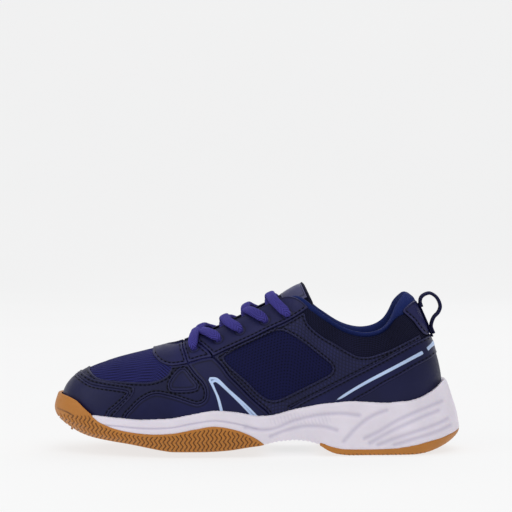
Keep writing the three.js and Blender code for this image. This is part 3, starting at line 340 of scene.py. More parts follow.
class Last(Surface):
    """The wall of the upper: a runs round the shoe in stations, b from feather line to top line."""

    def __init__(self) -> None:
        """Set out the lines from the station tables."""
        side = both_sides([-1] * 18, [1] * 18)
        self.feather = Line(np.stack([both_sides(FEATHER_X, FEATHER_X), both_sides(
            FEATHER_LATERAL, FEATHER_MEDIAL), both_sides(FEATHER_Z, FEATHER_Z)], -1), True)
        self.rise = Line(np.stack([both_sides(RISE_X, RISE_X), side * both_sides(RISE_OUT, RISE_OUT),
                                   both_sides(RISE_UP, RISE_UP)], -1)
                         * both_sides(RISE_REACH, RISE_REACH)[:, None], True)
        k = np.arange(-THROAT, THROAT + 1)
        i = np.abs(k)
        pick = lambda values: np.array(values, float)[i]
        y = np.where(k >= 0, pick(TOP_LATERAL), pick(TOP_MEDIAL))
        self.top = Line(np.stack([pick(TOP_X), y, pick(TOP_Z)], -1))
        inwards = np.where(k >= 0, 1, -1) * pick(CLOSE_IN)
        self.close = Line(np.stack([pick(CLOSE_X), inwards, pick(CLOSE_UP)], -1) * pick(CLOSE_REACH)[:, None])
        self.ridge = Line(np.stack([TOP_X[THROAT:], TOP_LATERAL[THROAT:], TOP_Z[THROAT:]], -1).astype(float))
        self.turn = Line(np.stack([RIDGE_TURN, RIDGE_REACH], -1).astype(float))
        self.grid_t, self.grid_q = np.linspace(0, RING, 8 * RING + 1), np.linspace(0, 1, 49)
        net = self.point(self.grid_t[:, None], self.grid_q[None])
        steps = np.linalg.norm(np.diff(net, axis=1), axis=-1)
        self.climbed = np.concatenate([np.zeros((len(net), 1)), np.cumsum(steps, 1)], 1)
        self.gone = travelled(self.point(np.linspace(-STATIONS, RING, CLOTH_MARKS), 0.5))

    @staticmethod
    def signed(t: Array) -> Array:
        """Stations from the heel back: positive on the lateral side."""
        return np.mod(np.asarray(t, float) + STATIONS, RING) - STATIONS

    def ridge_at(self, t: Array) -> tuple[Array, Array]:
        """Crest of the vamp in front of the throat, and its direction towards the toe."""
        share = np.clip((np.abs(self.signed(t)) - THROAT) / (STATIONS - THROAT), 0, 1)
        along = self.ridge.at(np.minimum(share + 1e-4, 1)) - self.ridge.at(np.maximum(share - 1e-4, 0))
        along[..., 1] = 0
        return share, unit(along)

    def point(self, a: Array, b: Array) -> Array:
        """Cubic from feather line to top line, leaving along the rise and arriving along the close."""
        a, b = np.broadcast_arrays(np.asarray(a, float), np.asarray(b, float))
        signed = self.signed(a)
        ring = np.mod(a, RING) / RING
        start = self.feather.at(ring)
        leave = start + self.rise.at(ring)
        open_share = np.clip((signed + THROAT) / (2 * THROAT), 0, 1)
        top = self.top.at(open_share)
        share, along = self.ridge_at(a)
        turn = self.turn.at(share)
        angle = np.radians(turn[..., 0])
        back = along * -np.sin(angle)[..., None]
        back[..., 1] = np.where(signed > 0, 1, -1) * np.cos(angle) * (np.abs(signed) < STATIONS - 1e-6)
        crest = self.ridge.at(share)
        front = (np.abs(signed) >= THROAT)[..., None]
        end = np.where(front, crest, top)
        arrive = np.where(front, crest - back * turn[..., 1:], top - self.close.at(open_share))
        q, r = b[..., None], 1 - b[..., None]
        return r**3 * start + 3 * r * r * q * leave + 3 * r * q * q * arrive + q**3 * end

    def normal(self, a: Array, b: Array) -> Array:
        """Outward directions; along the crest both sides share one."""
        a, b = np.broadcast_arrays(np.asarray(a, float), np.asarray(b, float))
        step, height = 1e-3, np.clip(b, 2e-3, 0.985)
        around = self.point(a + step, height) - self.point(a - step, height)
        up = self.point(a, height + step) - self.point(a, height - step)
        side = unit(np.cross(up, around))
        _, along = self.ridge_at(a)
        crest = unit(np.stack([along[..., 2], np.zeros(a.shape), -along[..., 0]], -1))
        share = ramp(b, 0.93, 1.0) * (np.abs(self.signed(a)) >= THROAT)
        return unit(side + (crest - side) * share[..., None])

    def climb(self, a: Array, b: Array) -> tuple[Array, Array]:
        """Millimetres of wall under and over a place, from a table read between its rows."""
        x = np.mod(a, RING) / RING * (len(self.grid_t) - 1)
        y = np.clip(b, 0, 1) * (len(self.grid_q) - 1)
        i = np.minimum(x.astype(int), len(self.grid_t) - 2)
        j = np.minimum(y.astype(int), len(self.grid_q) - 2)
        u, v = x - i, y - j
        row = lambda k: self.climbed[i, k] * (1 - u) + self.climbed[i + 1, k] * u
        under = row(j) * (1 - v) + row(j + 1) * v
        return under, row(len(self.grid_q) - 1) - under

    def cloth(self, a: Array, b: Array) -> Array:
        """Cloth coordinates in millimetres: length round the wall, and down from its top on either side."""
        around = np.interp(a, np.linspace(-STATIONS, RING, CLOTH_MARKS), self.gone)
        _, over = self.climb(a, b)
        return np.stack([around, over * np.where(self.signed(a) > 0, -1, 1), np.zeros_like(around)], -1)

    def find(self, places: Array, lateral: bool, depth: float) -> tuple[Array, Array]:
        """Stations and heights of points given in side elevation.

        Args:
            places: points (x, z).
            lateral: which side of the shoe to look on.
            depth: offset of the surface that is looked at.

        Returns:
            a and b of each point: the nearest of a fine net, then three Newton steps.
        """
        t = np.linspace(0, STATIONS, 239) if lateral else np.linspace(RING, STATIONS, 239)
        net_a, net_b = (v.ravel() for v in np.meshgrid(t, np.linspace(0, 1, 81), indexing="ij"))
        net = self.offset(net_a, net_b, depth)[:, ::2]
        nearest = np.concatenate([np.argmin(((part[:, None] - net[None]) ** 2).sum(-1), 1)
                                  for part in np.array_split(places, max(1, len(places) // 200))])
        a, b = net_a[nearest], net_b[nearest]
        for _ in range(3):
            look = lambda da, db: self.offset(a + da, np.clip(b + db, 0, 1), depth)[:, ::2]
            here, e = look(0, 0), 1e-3
            ga, gb = (look(e, 0) - look(-e, 0)) / (2 * e), (look(0, e) - look(0, -e)) / (2 * e)
            det = ga[:, 0] * gb[:, 1] - ga[:, 1] * gb[:, 0]
            safe = np.where(np.abs(det) < 20, np.inf, det)
            miss = places - here
            a = a + np.clip((miss[:, 0] * gb[:, 1] - miss[:, 1] * gb[:, 0]) / safe, -0.2, 0.2)
            rise = (miss[:, 1] * ga[:, 0] - miss[:, 0] * ga[:, 1]) / safe
            b = np.clip(b + np.clip(rise, -0.05, 0.05), 0, 1)
        return a, b


class SoleShape(Surface):
    """Outside of the sole unit: a runs round it, b from the middle of its underside to its rim."""

    TURN = 0.42
    EDGE_LIFT = 4.0

    def __init__(self) -> None:
        """Set out the ground outline, the cuts of its edges and the two height lines."""
        self.edge = Line(np.stack([both_sides(SOLE_X, SOLE_X),
                                   both_sides(SOLE_LATERAL, SOLE_MEDIAL)], -1), True)
        self.cuts = Line(np.stack([both_sides(UNDER_CUT, UNDER_CUT), both_sides(TOP_CUT, TOP_CUT),
                                   both_sides(WIDEST_AT, WIDEST_AT)], -1), True)
        self.x = np.arange(-170, 170.5, 0.5)
        weights = np.exp(-0.5 * (np.arange(-10, 11) / 4.0) ** 2)
        soft = lambda pairs: np.convolve(np.pad(np.interp(self.x, *np.array(pairs, float).T), 10, "edge"),
                                         weights / weights.sum(), "valid")
        self.ground_heights, self.bite_heights = np.maximum(soft(GROUND_LINE), 0), soft(BITE_LINE)

    def ground(self, x: Array) -> Array:
        """Height of the underside."""
        return np.interp(x, self.x, self.ground_heights)

    def bite(self, x: Array) -> Array:
        """Height of the rim."""
        return np.interp(x, self.x, self.bite_heights)

    def lift(self, x: Array) -> Array:
        """How far the edge of the crowned forefoot stands over its middle."""
        return self.EDGE_LIFT * ramp(x, -128, -84) * (1 - ramp(x, -12, 14))

    def point(self, a: Array, b: Array) -> Array:
        """Underside crowned out to the tucked edge, then a wall that bulges to its widest height and
        leans in to the rim, whose last millimetre is rounded."""
        a, b = np.broadcast_arrays(np.asarray(a, float), np.asarray(b, float))
        edge, cuts = self.edge.at(a), self.cuts.at(a)
        tangent = self.edge.at(a + 1e-4) - self.edge.at(a - 1e-4)
        out = unit(np.stack([tangent[..., 1], -tangent[..., 0]], -1))
        out = out * np.sign(np.sum(out * (edge - [0, MIDDLE_Y]), -1, keepdims=True))
        under = edge - out * cuts[..., :1]
        spine = np.stack([edge[..., 0] * 0.93, np.full(a.shape, MIDDLE_Y)], -1)
        share = np.clip(b / self.TURN, 0, 1)[..., None]
        floor = spine + (under - spine) * share
        h = np.clip((b - self.TURN) / (1 - self.TURN), 0, 1)
        tuck = cuts[..., 0] * np.maximum(0, 1 - h / cuts[..., 2]) ** 2.2
        lean = cuts[..., 1] * np.maximum(0, (h - cuts[..., 2]) / (1 - cuts[..., 2])) ** 1.4
        lean = lean + 0.9 * (1 - np.sqrt(np.clip(1 - ((h - 0.95) / 0.05).clip(0, 1) ** 2, 0, 1)))
        wall = edge - out * (tuck + lean)[..., None]
        low = self.ground(under[..., 0]) + self.lift(under[..., 0])
        high = self.bite(edge[..., 0] - out[..., 0] * cuts[..., 1])
        on_wall = b > self.TURN
        flat = np.where(on_wall[..., None], wall, floor)
        crowned = self.ground(floor[..., 0]) + self.lift(floor[..., 0]) * share[..., 0] ** 2.2
        z = np.where(on_wall, low + (high - low) * h, crowned)
        return np.concatenate([flat, z[..., None]], -1)

    def normal(self, a: Array, b: Array) -> Array:
        """Outward directions: from small steps on the wall, square to the ground line under the foot."""
        a, b = np.broadcast_arrays(np.asarray(a, float), np.asarray(b, float))
        height, step = np.clip(b, 6e-3, 0.992), 3e-3
        around = self.point(a + 1e-4, height) - self.point(a - 1e-4, height)
        up = self.point(a, height + step) - self.point(a, height - step)
        x = self.point(a, b)[..., 0]
        rise = self.ground(x + 0.5) - self.ground(x - 0.5)
        under = unit(np.stack([rise, np.zeros_like(rise), -np.ones_like(rise)], -1))
        share = ramp(b, 0.5 * self.TURN, 0.85 * self.TURN)[..., None]
        return unit(under + (unit(np.cross(up, around)) - under) * share)


# ---- meshes ----
def make_piece(name: str, points: Array, faces: Sequence[Array], facts: dict[str, Array] | None = None,
               weld: bool = True, sharp: float = 0) -> bpy.types.Object:
    """Put points and faces in one new object.

    Args:
        name: the piece's name.
        points: corners in millimetres, (n, 3).
        faces: arrays of corner numbers, each (m, 3) or (m, 4).
        facts: numbers or vectors kept at each corner, by name.
        weld: whether corners in one place are merged.
        sharp: edges that turn by more than this many degrees stay hard; 0 for none.

    Returns:
        The object, at the origin.
    """
    mesh = bpy.data.meshes.new(name)
    mesh.vertices.add(len(points))
    mesh.vertices.foreach_set("co", (points * MM).astype(np.float32).ravel())
    counts = np.concatenate([np.full(len(f), f.shape[1]) for f in faces]).astype(np.int32)
    corners = np.concatenate([np.asarray(f).ravel() for f in faces]).astype(np.int32)
    mesh.loops.add(len(corners))
    mesh.loops.foreach_set("vertex_index", corners)
    mesh.polygons.add(len(counts))
    mesh.polygons.foreach_set("loop_start", np.concatenate([[0], np.cumsum(counts)[:-1]]).astype(np.int32))
    mesh.update(calc_edges=True)
    mesh.validate()
    for fact, values in (facts or {}).items():
        wide = values.ndim > 1
        layer = mesh.attributes.new(fact, "FLOAT_VECTOR" if wide else "FLOAT", "POINT")
        layer.data.foreach_set("vector" if wide else "value", values.astype(np.float32).ravel())
    if weld:
        work = bmesh.new()
        work.from_mesh(mesh)
        bmesh.ops.remove_doubles(work, verts=work.verts, dist=3e-6)
        bmesh.ops.dissolve_degenerate(work, edges=work.edges, dist=1e-7)
        work.to_mesh(mesh)
        work.free()
    mesh.polygons.foreach_set("use_smooth", np.ones(len(mesh.polygons), bool))
    if sharp:
        mesh.set_sharp_from_angle(angle=np.radians(sharp))
    mesh.update()
    piece = bpy.data.objects.new(name, mesh)
    bpy.context.scene.collection.objects.link(piece)
    return piece


def net_faces(columns: int, rows: int, round_a: bool = False, round_b: bool = False) -> Array:
    """Four-cornered faces of a net whose points run column by column.

    Args:
        columns: points along a.
        rows: points along b.
        round_a: whether the last column joins the first.
        round_b: whether the last row joins the first.

    Returns:
        Corner numbers, (m, 4), facing along the way up crossed with the way round.
    """
    i = np.arange(columns if round_a else columns - 1)[:, None]
    j = np.arange(rows if round_b else rows - 1)[None]
    at = lambda p, q: (p % columns) * rows + q % rows
    return np.stack([at(i, j), at(i, j + 1), at(i + 1, j + 1), at(i + 1, j)], -1).reshape(-1, 4)


def closing_strips(columns: int, rows: int) -> list[Array]:
    """Faces over the first and last row of a net that goes round, each column joined to its mirror."""
    half, strips = np.arange(columns // 2), []
    for row, way in ((0, 1), (rows - 1, -1)):
        corners = [place % columns * rows + row for place in (half, half + 1, -half - 1, -half)]
        strips.append(np.stack(corners, -1)[:, ::way])
    return strips


def end_fans(total: int, around: int) -> list[Array]:
    """Triangles that close both ends of a tube, round two middle points that follow its total."""
    ring = np.arange(around)
    after, last = (ring + 1) % around, total - around
    return [np.stack([np.full(around, total), after, ring], -1),
            np.stack([np.full(around, total + 1), last + ring, last + after], -1)]


def split(columns: Array, faces: Array, which: int, level: float) -> tuple[Array, Array]:
    """Cut every triangle along one level of a quantity kept at its corners.

    A new corner stands on each crossed edge, where the straight run between its ends meets the level.

    Args:
        columns: quantities at the corners, (n, k).
        faces: triangles, (m, 3).
        which: column of the quantity that is cut.
        level: the level.

    Returns:
        The corners and the triangles, with the new ones.
    """
    values = columns[:, which]
    near = np.abs(values - level) < 0.01
    values[near] = level + 0.01
    below = (values < level)[faces]
    count = below.sum(1)
    mixed = (count == 1) | (count == 2)
    cut, under, lone = faces[mixed], below[mixed], count[mixed] == 1
    if not len(cut):
        return columns, faces
    odd = np.argmax(under == lone[:, None], 1)
    rows = np.arange(len(cut))
    a, b, c = (cut[rows, (odd + step) % 3] for step in (0, 1, 2))
    ends = np.sort(np.stack([np.concatenate([a, a]), np.concatenate([b, c])], -1), 1)
    pairs, slot = np.unique(ends, axis=0, return_inverse=True)
    low, high = columns[pairs[:, 0]], columns[pairs[:, 1]]
    share = ((level - low[:, which]) / (high[:, which] - low[:, which]))[:, None]
    fresh = low + (high - low) * share
    fresh[:, which] = level
    slot = slot.ravel() + len(columns)
    ab, ac = slot[:len(a)], slot[len(a):]
    parts = [faces[~mixed], np.stack([a, ab, ac], -1), np.stack([ab, b, c], -1), np.stack([ab, c, ac], -1)]
    return np.vstack([columns, fresh]), np.vstack(parts)


def keep(columns: Array, faces: Array, chosen: Array) -> tuple[Array, Array]:
    """Only the chosen triangles and the corners that they use."""
    faces = faces[chosen]
    used, fresh = np.unique(faces, return_inverse=True)
    return columns[used], fresh.reshape(-1, 3)


@dataclass(frozen=True)
class Layer:
    """How a sheet lies on a surface: its underside, its thickness, how its edge rounds over, and how
    much its middle swells."""

    base: float
    thick: float
    edge: float = 0.6
    crown: float = 0.0
    bead: float = 0.0

    def height(self, inside: Array) -> Array:
        """Height over the underside: a quarter circle out of the edge, a raised welt just inside it, and a
        slow swell after that."""
        share = np.clip(inside / self.edge, 0, 1)
        round_edge = np.sqrt(1 - (1 - share) ** 2) * self.thick
        welt = self.bead * np.exp(-(((inside - 0.9) / 0.55) ** 2)) * share
        return round_edge + welt + self.crown * (1 - np.exp(-np.maximum(inside - self.edge, 0) / 5))

    def levels(self) -> tuple[float, ...]:
        """Distances from the edge where the sheet needs corners."""
        extra = (0.9, 1.5, 2.0) if self.bead else ()
        return (self.edge * 0.15, self.edge * 0.5, self.edge, *[v for v in extra if v > self.edge + 0.1])


@dataclass
class Sheet:
    """A sheet cut out of a surface: closed all round, its two faces meeting along its edge."""

    surface: Surface
    region: Region
    span: tuple[float, float]
    rows: tuple[float, float]
    size: tuple[int, int]
    layer: Layer
    relief: Relief | None = None
    marks: Callable[[Array, Array, Array], Array] | None = None
    mark_levels: tuple[float, ...] = ()

    def build(self, name: str) -> bpy.types.Object:
        """Cut and build the sheet.

        Args:
            name: the piece's name.

        Returns:
            The piece. Its corners keep "edge", millimetres from its edge, and "cloth", its cloth
            coordinates.
        """
        a, b = (v.ravel() for v in np.meshgrid(np.linspace(*self.span, self.size[0]),
                                               np.linspace(*self.rows, self.size[1]), indexing="ij"))
        place = self.surface.offset(a, b, self.layer.base + self.layer.thick)
        inside = self.region(place, a, b)
        mark = self.marks(place, a, b) if self.marks else np.zeros_like(a)
        columns = np.stack([a, b, inside, mark], -1)
        quads = net_faces(*self.size)
        faces = np.vstack([quads[:, [0, 1, 2]], quads[:, [0, 2, 3]]])
        columns, faces = keep(columns, faces, (inside[faces] > -0.5).any(1) & (inside[faces] > -6).all(1))
        columns, faces = split(columns, faces, 2, 0.0)
        columns, faces = keep(columns, faces, (columns[:, 2][faces] > 1e-6).any(1))
        columns[:, 2] = np.maximum(columns[:, 2], 0)
        for level in self.layer.levels():
            columns, faces = split(columns, faces, 2, level)
        for level in self.mark_levels:
            columns, faces = split(columns, faces, 3, level)
        a, b, inside, mark = columns.T
        height = self.layer.height(inside)
        outer = self.surface.offset(a, b, self.layer.base + height)
        if self.relief:
            lift = self.relief(outer, a, b, mark) * ramp(inside, 0, 0.4)
            outer = self.surface.offset(a, b, self.layer.base + height + lift)
        inner = self.surface.offset(a, b, self.layer.base)
        cloth = self.surface.cloth(a, b) if isinstance(self.surface, Last) else outer
        facts = {"edge": np.concatenate([inside, inside]), "cloth": np.vstack([cloth, cloth]),
                 "mark": np.concatenate([mark, mark])}
        return make_piece(name, np.vstack([outer, inner]), [faces, faces[:, ::-1] + len(a)], facts)


# ---- finishes ----
def tint(red: float, green: float, blue: float) -> Colour:
    """Linear colour of a display colour given from 0 to 255."""
    share = np.array([red, green, blue]) / 255
    linear = np.where(share <= 0.04045, share / 12.92, ((share + 0.055) / 1.055) ** 2.4)
    return (*(float(v) for v in linear), 1.0)


def times(colour: Sequence[float], factor: float) -> Colour:
    """A colour made lighter or darker by a factor."""
    return (*(min(1.0, c * factor) for c in colour[:3]), 1.0)


class Graph:
    """Nodes of one material, with its shader already in place."""

    def __init__(self, name: str, **sockets: float | Sequence[float]) -> None:
        """Start a material.

        Args:
            name: its name.
            sockets: values set on the shader's own sockets, spaces written as underscores.
        """
        self.material = bpy.data.materials.new(name)
        self.material.use_nodes = True
        self.nodes, self.links = self.material.node_tree.nodes, self.material.node_tree.links
        self.nodes.clear()
        self.shader = self.nodes.new("ShaderNodeBsdfPrincipled")
        end = self.nodes.new("ShaderNodeOutputMaterial")
        self.links.new(self.shader.outputs[0], end.inputs[0])
        for socket, value in sockets.items():
            self.shader.inputs[socket.replace("_", " ")].default_value = value
        self.place = self.nodes.new("ShaderNodeTexCoord").outputs["Object"]

    def feed(self, socket: Socket, value: object) -> None:
        """Join a socket to another, or set it to a number or colour."""
        if isinstance(value, Socket):
            self.links.new(value, socket)
        else:
            socket.default_value = value

    def math(self, operation: str, a: object, b: object = 0.0) -> Socket:
        """One sum of two numbers."""
        node = self.nodes.new("ShaderNodeMath")
        node.operation = operation
        self.feed(node.inputs[0], a)
        self.feed(node.inputs[1], b)
        return node.outputs[0]

    def noise(self, scale: float, detail: float = 3) -> Socket:
        """Cloudy noise, with scale features to a metre."""
        node = self.nodes.new("ShaderNodeTexNoise")
        self.links.new(self.place, node.inputs["Vector"])
        node.inputs["Scale"].default_value, node.inputs["Detail"].default_value = scale, detail
        return node.outputs[0]

    def cells(self, scale: float) -> Socket:
        """Pebbles: distance to the nearest of scattered points."""
        node = self.nodes.new("ShaderNodeTexVoronoi")
        self.links.new(self.place, node.inputs["Vector"])
        node.inputs["Scale"].default_value = scale
        return node.outputs["Distance"]

    def fact(self, name: str) -> bpy.types.Node:
        """A quantity kept at the piece's corners."""
        node = self.nodes.new("ShaderNodeAttribute")
        node.attribute_name = name
        return node

    def cloth(self) -> tuple[Socket, Socket]:
        """Cloth coordinates in millimetres, along and across."""
        parts = self.nodes.new("ShaderNodeSeparateXYZ")
        self.links.new(self.fact("cloth").outputs["Vector"], parts.inputs[0])
        return parts.outputs[0], parts.outputs[1]

    def wave(self, value: object, pitch: float) -> Socket:
        """Sine of a length, one wave to a pitch."""
        return self.math("SINE", self.math("MULTIPLY", value, 2 * np.pi / pitch))

    def mix(self, share: object, a: object, b: object) -> Socket:
        """Colour a turning into colour b as the share goes from 0 to 1."""
        node = self.nodes.new("ShaderNodeMix")
        node.data_type = "RGBA"
        self.feed(node.inputs["Factor"], share)
        self.feed(node.inputs[6], a)
        self.feed(node.inputs[7], b)
        return node.outputs[2]

    def step(self, value: object, low: float, high: float, to_low: float = 0.0, to_high: float = 1.0
             ) -> Socket:
        """A number carried from one range to another, held at its ends."""
        node = self.nodes.new("ShaderNodeMapRange")
        for socket, number in zip(node.inputs, (value, low, high, to_low, to_high)):
            self.feed(socket, number)
        return node.outputs[0]

    def finish(self, colour: object, roughness: object, height: object, depth: float,
               strength: float = 1.0) -> bpy.types.Material:
        """Join colour, roughness and relief to the shader.

        Args:
            colour: colour or its socket.
            roughness: roughness or its socket.
            height: socket of the relief, 0 to 1.
            depth: depth of the relief in millimetres.
            strength: how much of it shows.

        Returns:
            The material.
        """
        self.feed(self.shader.inputs["Base Color"], colour)
        self.feed(self.shader.inputs["Roughness"], roughness)
        bump = self.nodes.new("ShaderNodeBump")
        bump.inputs["Distance"].default_value = depth * MM
        bump.inputs["Strength"].default_value = strength
        self.feed(bump.inputs["Height"], height)
        self.links.new(bump.outputs[0], self.shader.inputs["Normal"])
        return self.material


@dataclass(frozen=True)
class Film:
    """Synthetic leather: fine pebbled grain, soft shine, welted edges made a little paler by wear and a
    painted highlight, with painted shade along the stitch groove and a painted contact shadow at the edge.
    """

    name: str
    colour: Colour
    edge_highlight_and_wear_colour: Colour
    roughness: float = 0.46
    grid: float = 0.0
    grain: float = 1.0

    def material(self) -> bpy.types.Material:
        """Build the material: cells and noise for the grain, and an embossed square grid where asked."""
        g = Graph(self.name, Specular_IOR_Level=0.2)
        cloud = g.noise(38)
        base = g.mix(g.step(cloud, 0.3, 0.72), times(self.colour, 0.82), times(self.colour, 1.2))
        edge = g.fact("edge").outputs["Fac"]
        # The welt's outer 1.5 mm is lightened in noisy patches: partly wear, partly a painted highlight on
        # the raised bead.
        edge_highlight_and_wear = g.math("MULTIPLY", g.step(edge, 0.3, 1.5, 1, 0), g.step(g.noise(160), 0.3, 0.7, 0.25, 0.8))
        base = g.mix(edge_highlight_and_wear, base, self.edge_highlight_and_wear_colour)
        # Painted shade along the stitch groove 1.3 to 2.8 mm inside the edge, and a painted contact shadow on
        # the outer 0.4 mm, both darkened towards a fifth of the colour.
        sewn = g.math("MULTIPLY", g.step(edge, 1.3, 1.8, 0, 0.7), g.step(edge, 2.1, 2.8, 1, 0))
        base = g.mix(g.math("MAXIMUM", sewn, g.step(edge, 0.05, 0.4, 0.85, 0)), base, times(self.colour, 0.2))
        grain = g.math("ADD", g.math("MULTIPLY", g.cells(1500), 0.6), g.math("MULTIPLY", g.noise(2600), 0.5))
        if self.grid:
            u, v = g.cloth()
            line = g.math("MAXIMUM", g.step(g.wave(u, self.grid), 0.2, 0.9), g.step(
                g.wave(v, self.grid), 0.2, 0.9))
            base = g.mix(g.math("MULTIPLY", line, 0.75), base, times(self.colour, 0.35))
            grain = g.math("SUBTRACT", grain, g.math("MULTIPLY", line, 1.6))
        rough = g.step(g.noise(300), 0.2, 0.8, self.roughness - 0.07, self.roughness + 0.09)
        return g.finish(base, rough, grain, 0.09 * self.grain, 0.7)


class Weave(Enum):
    """Ways a fabric of the shoe is made."""

    CORD_KNIT = "cord_knit"
    BOX_MESH = "box_mesh"
    FINE_MESH = "fine_mesh"
    BRUSHED = "brushed"
    HERRINGBONE = "herringbone"


@dataclass(frozen=True)
class Fabric:
    """Cloth: threads drawn in the piece's own cloth coordinates, with a soft sheen."""

    name: str
    weave: Weave
    colour: Colour
    dark: Colour
    pitch: float
    depth: float = 0.25
    sheen: float = 0.25

    def threads(self, g: Graph) -> Socket:
        """Relief of the threads, 0 in the holes and 1 on the yarn."""
        u, v = g.cloth()
        p = self.pitch
        if self.weave is Weave.CORD_KNIT:
            slant = g.math("ADD", v, g.math("MULTIPLY", u, 0.5))
            lean = g.math("MULTIPLY", g.wave(u, p), g.wave(slant, p * 0.8))
            rib = g.wave(g.math("SUBTRACT", v, g.math("MULTIPLY", u, 0.12)), p * 0.8)
            return g.step(g.math("ADD", lean, g.math("MULTIPLY", rib, 0.7)), -1.1, 1.0)
        if self.weave is Weave.BOX_MESH:
            hole = g.math("MULTIPLY", g.step(g.wave(u, p), -0.2, 0.9), g.step(g.wave(v, p), -0.2, 0.9))
            return g.math("SUBTRACT", 1.0, hole)
        if self.weave is Weave.FINE_MESH:
            a, b = g.math("ADD", u, v), g.math("SUBTRACT", u, v)
            return g.step(g.math("MULTIPLY", g.wave(a, p), g.wave(b, p)), -0.7, 0.8)
        if self.weave is Weave.HERRINGBONE:
            chevron = g.math("ADD", u, g.math("MULTIPLY", g.math("ABSOLUTE", v), 0.9))
            fine = g.wave(v, p * 0.45)
            return g.step(g.math("ADD", g.wave(chevron, p), g.math("MULTIPLY", fine, 0.35)), -1.1, 1.1)
        return g.step(g.math("ADD", g.math("MULTIPLY", g.wave(u, p), 0.3), g.noise(1300, 4)), 0.1, 1.0)

    def material(self) -> bpy.types.Material:
        """Build the material."""
        g = Graph(self.name, Specular_IOR_Level=0.12, Sheen_Weight=self.sheen, Sheen_Roughness=0.45)
        g.shader.inputs["Sheen Tint"].default_value = times(self.colour, 3.0)
        height = self.threads(g)
        fuzz = g.noise(2200, 4)
        base = g.mix(height, self.dark, self.colour)
        base = g.mix(g.step(g.noise(26), 0.32, 0.7, 0, 0.28), base, times(self.colour, 1.45))
        relief = g.math("ADD", height, g.math("MULTIPLY", fuzz, 0.3))
        return g.finish(base, g.step(fuzz, 0.3, 0.7, 0.72, 0.92), relief, self.depth, 0.85)


@dataclass(frozen=True)
class Rubber:
    """Moulded foam or gum rubber: mottled, with scuffs, and with painted shade in its grooves."""

    name: str
    colour: Colour
    deep: Colour
    roughness: float
    glow: float = 0.0
    bubble: float = 900

    def material(self) -> bpy.types.Material:
        """Build the material; "mark" is the strength of the painted shade in a moulded groove, 0 to 1."""
        g = Graph(self.name, Specular_IOR_Level=0.42, Subsurface_Weight=self.glow)
        if self.glow:
            g.shader.inputs["Subsurface Radius"].default_value = (0.004, 0.002, 0.001)
            g.shader.inputs["Subsurface Scale"].default_value = 0.5
        cloud = g.step(g.noise(45, 4), 0.3, 0.7)
        base = g.mix(cloud, times(self.colour, 0.93), times(self.colour, 1.05))
        # Painted shade: grooves are darkened towards the deep colour by the "mark" attribute.
        groove = g.step(g.fact("mark").outputs["Fac"], 0.05, 0.95)
        base = g.mix(groove, base, self.deep)
        speck = g.cells(self.bubble)
        base = g.mix(g.step(speck, 0.0, 0.3, 0.12, 0.0), base, times(self.colour, 0.8))
        rough = g.step(g.noise(220), 0.25, 0.75, self.roughness - 0.08, self.roughness + 0.1)
        return g.finish(base, rough, g.math("ADD", speck, g.noise(1500)), 0.05, 0.6)


@dataclass(frozen=True)
class Plain:
    """Board, open foam, glossy tip or printed film: a grain of one kind over a mottled colour."""

    name: str
    colour: Colour
    roughness: float
    grain: float
    depth: float = 0.08
    coat: float = 0.0

    def material(self) -> bpy.types.Material:
        """Build the material."""
        g = Graph(self.name, Coat_Weight=self.coat, Coat_Roughness=0.15)
        cloud = g.step(g.noise(70, 4), 0.3, 0.7)
        base = g.mix(cloud, times(self.colour, 0.86), times(self.colour, 1.1))
        pores = g.cells(self.grain)
        base = g.mix(g.step(pores, 0, 0.4, 0.22, 0), base, times(self.colour, 0.6))
        rough = g.step(g.noise(400), 0.25, 0.75, self.roughness - 0.06, self.roughness + 0.08)
        return g.finish(base, rough, g.math("ADD", pores, g.noise(self.grain * 1.7)), self.depth, 0.7)


NAVY = tint(19, 21, 58)
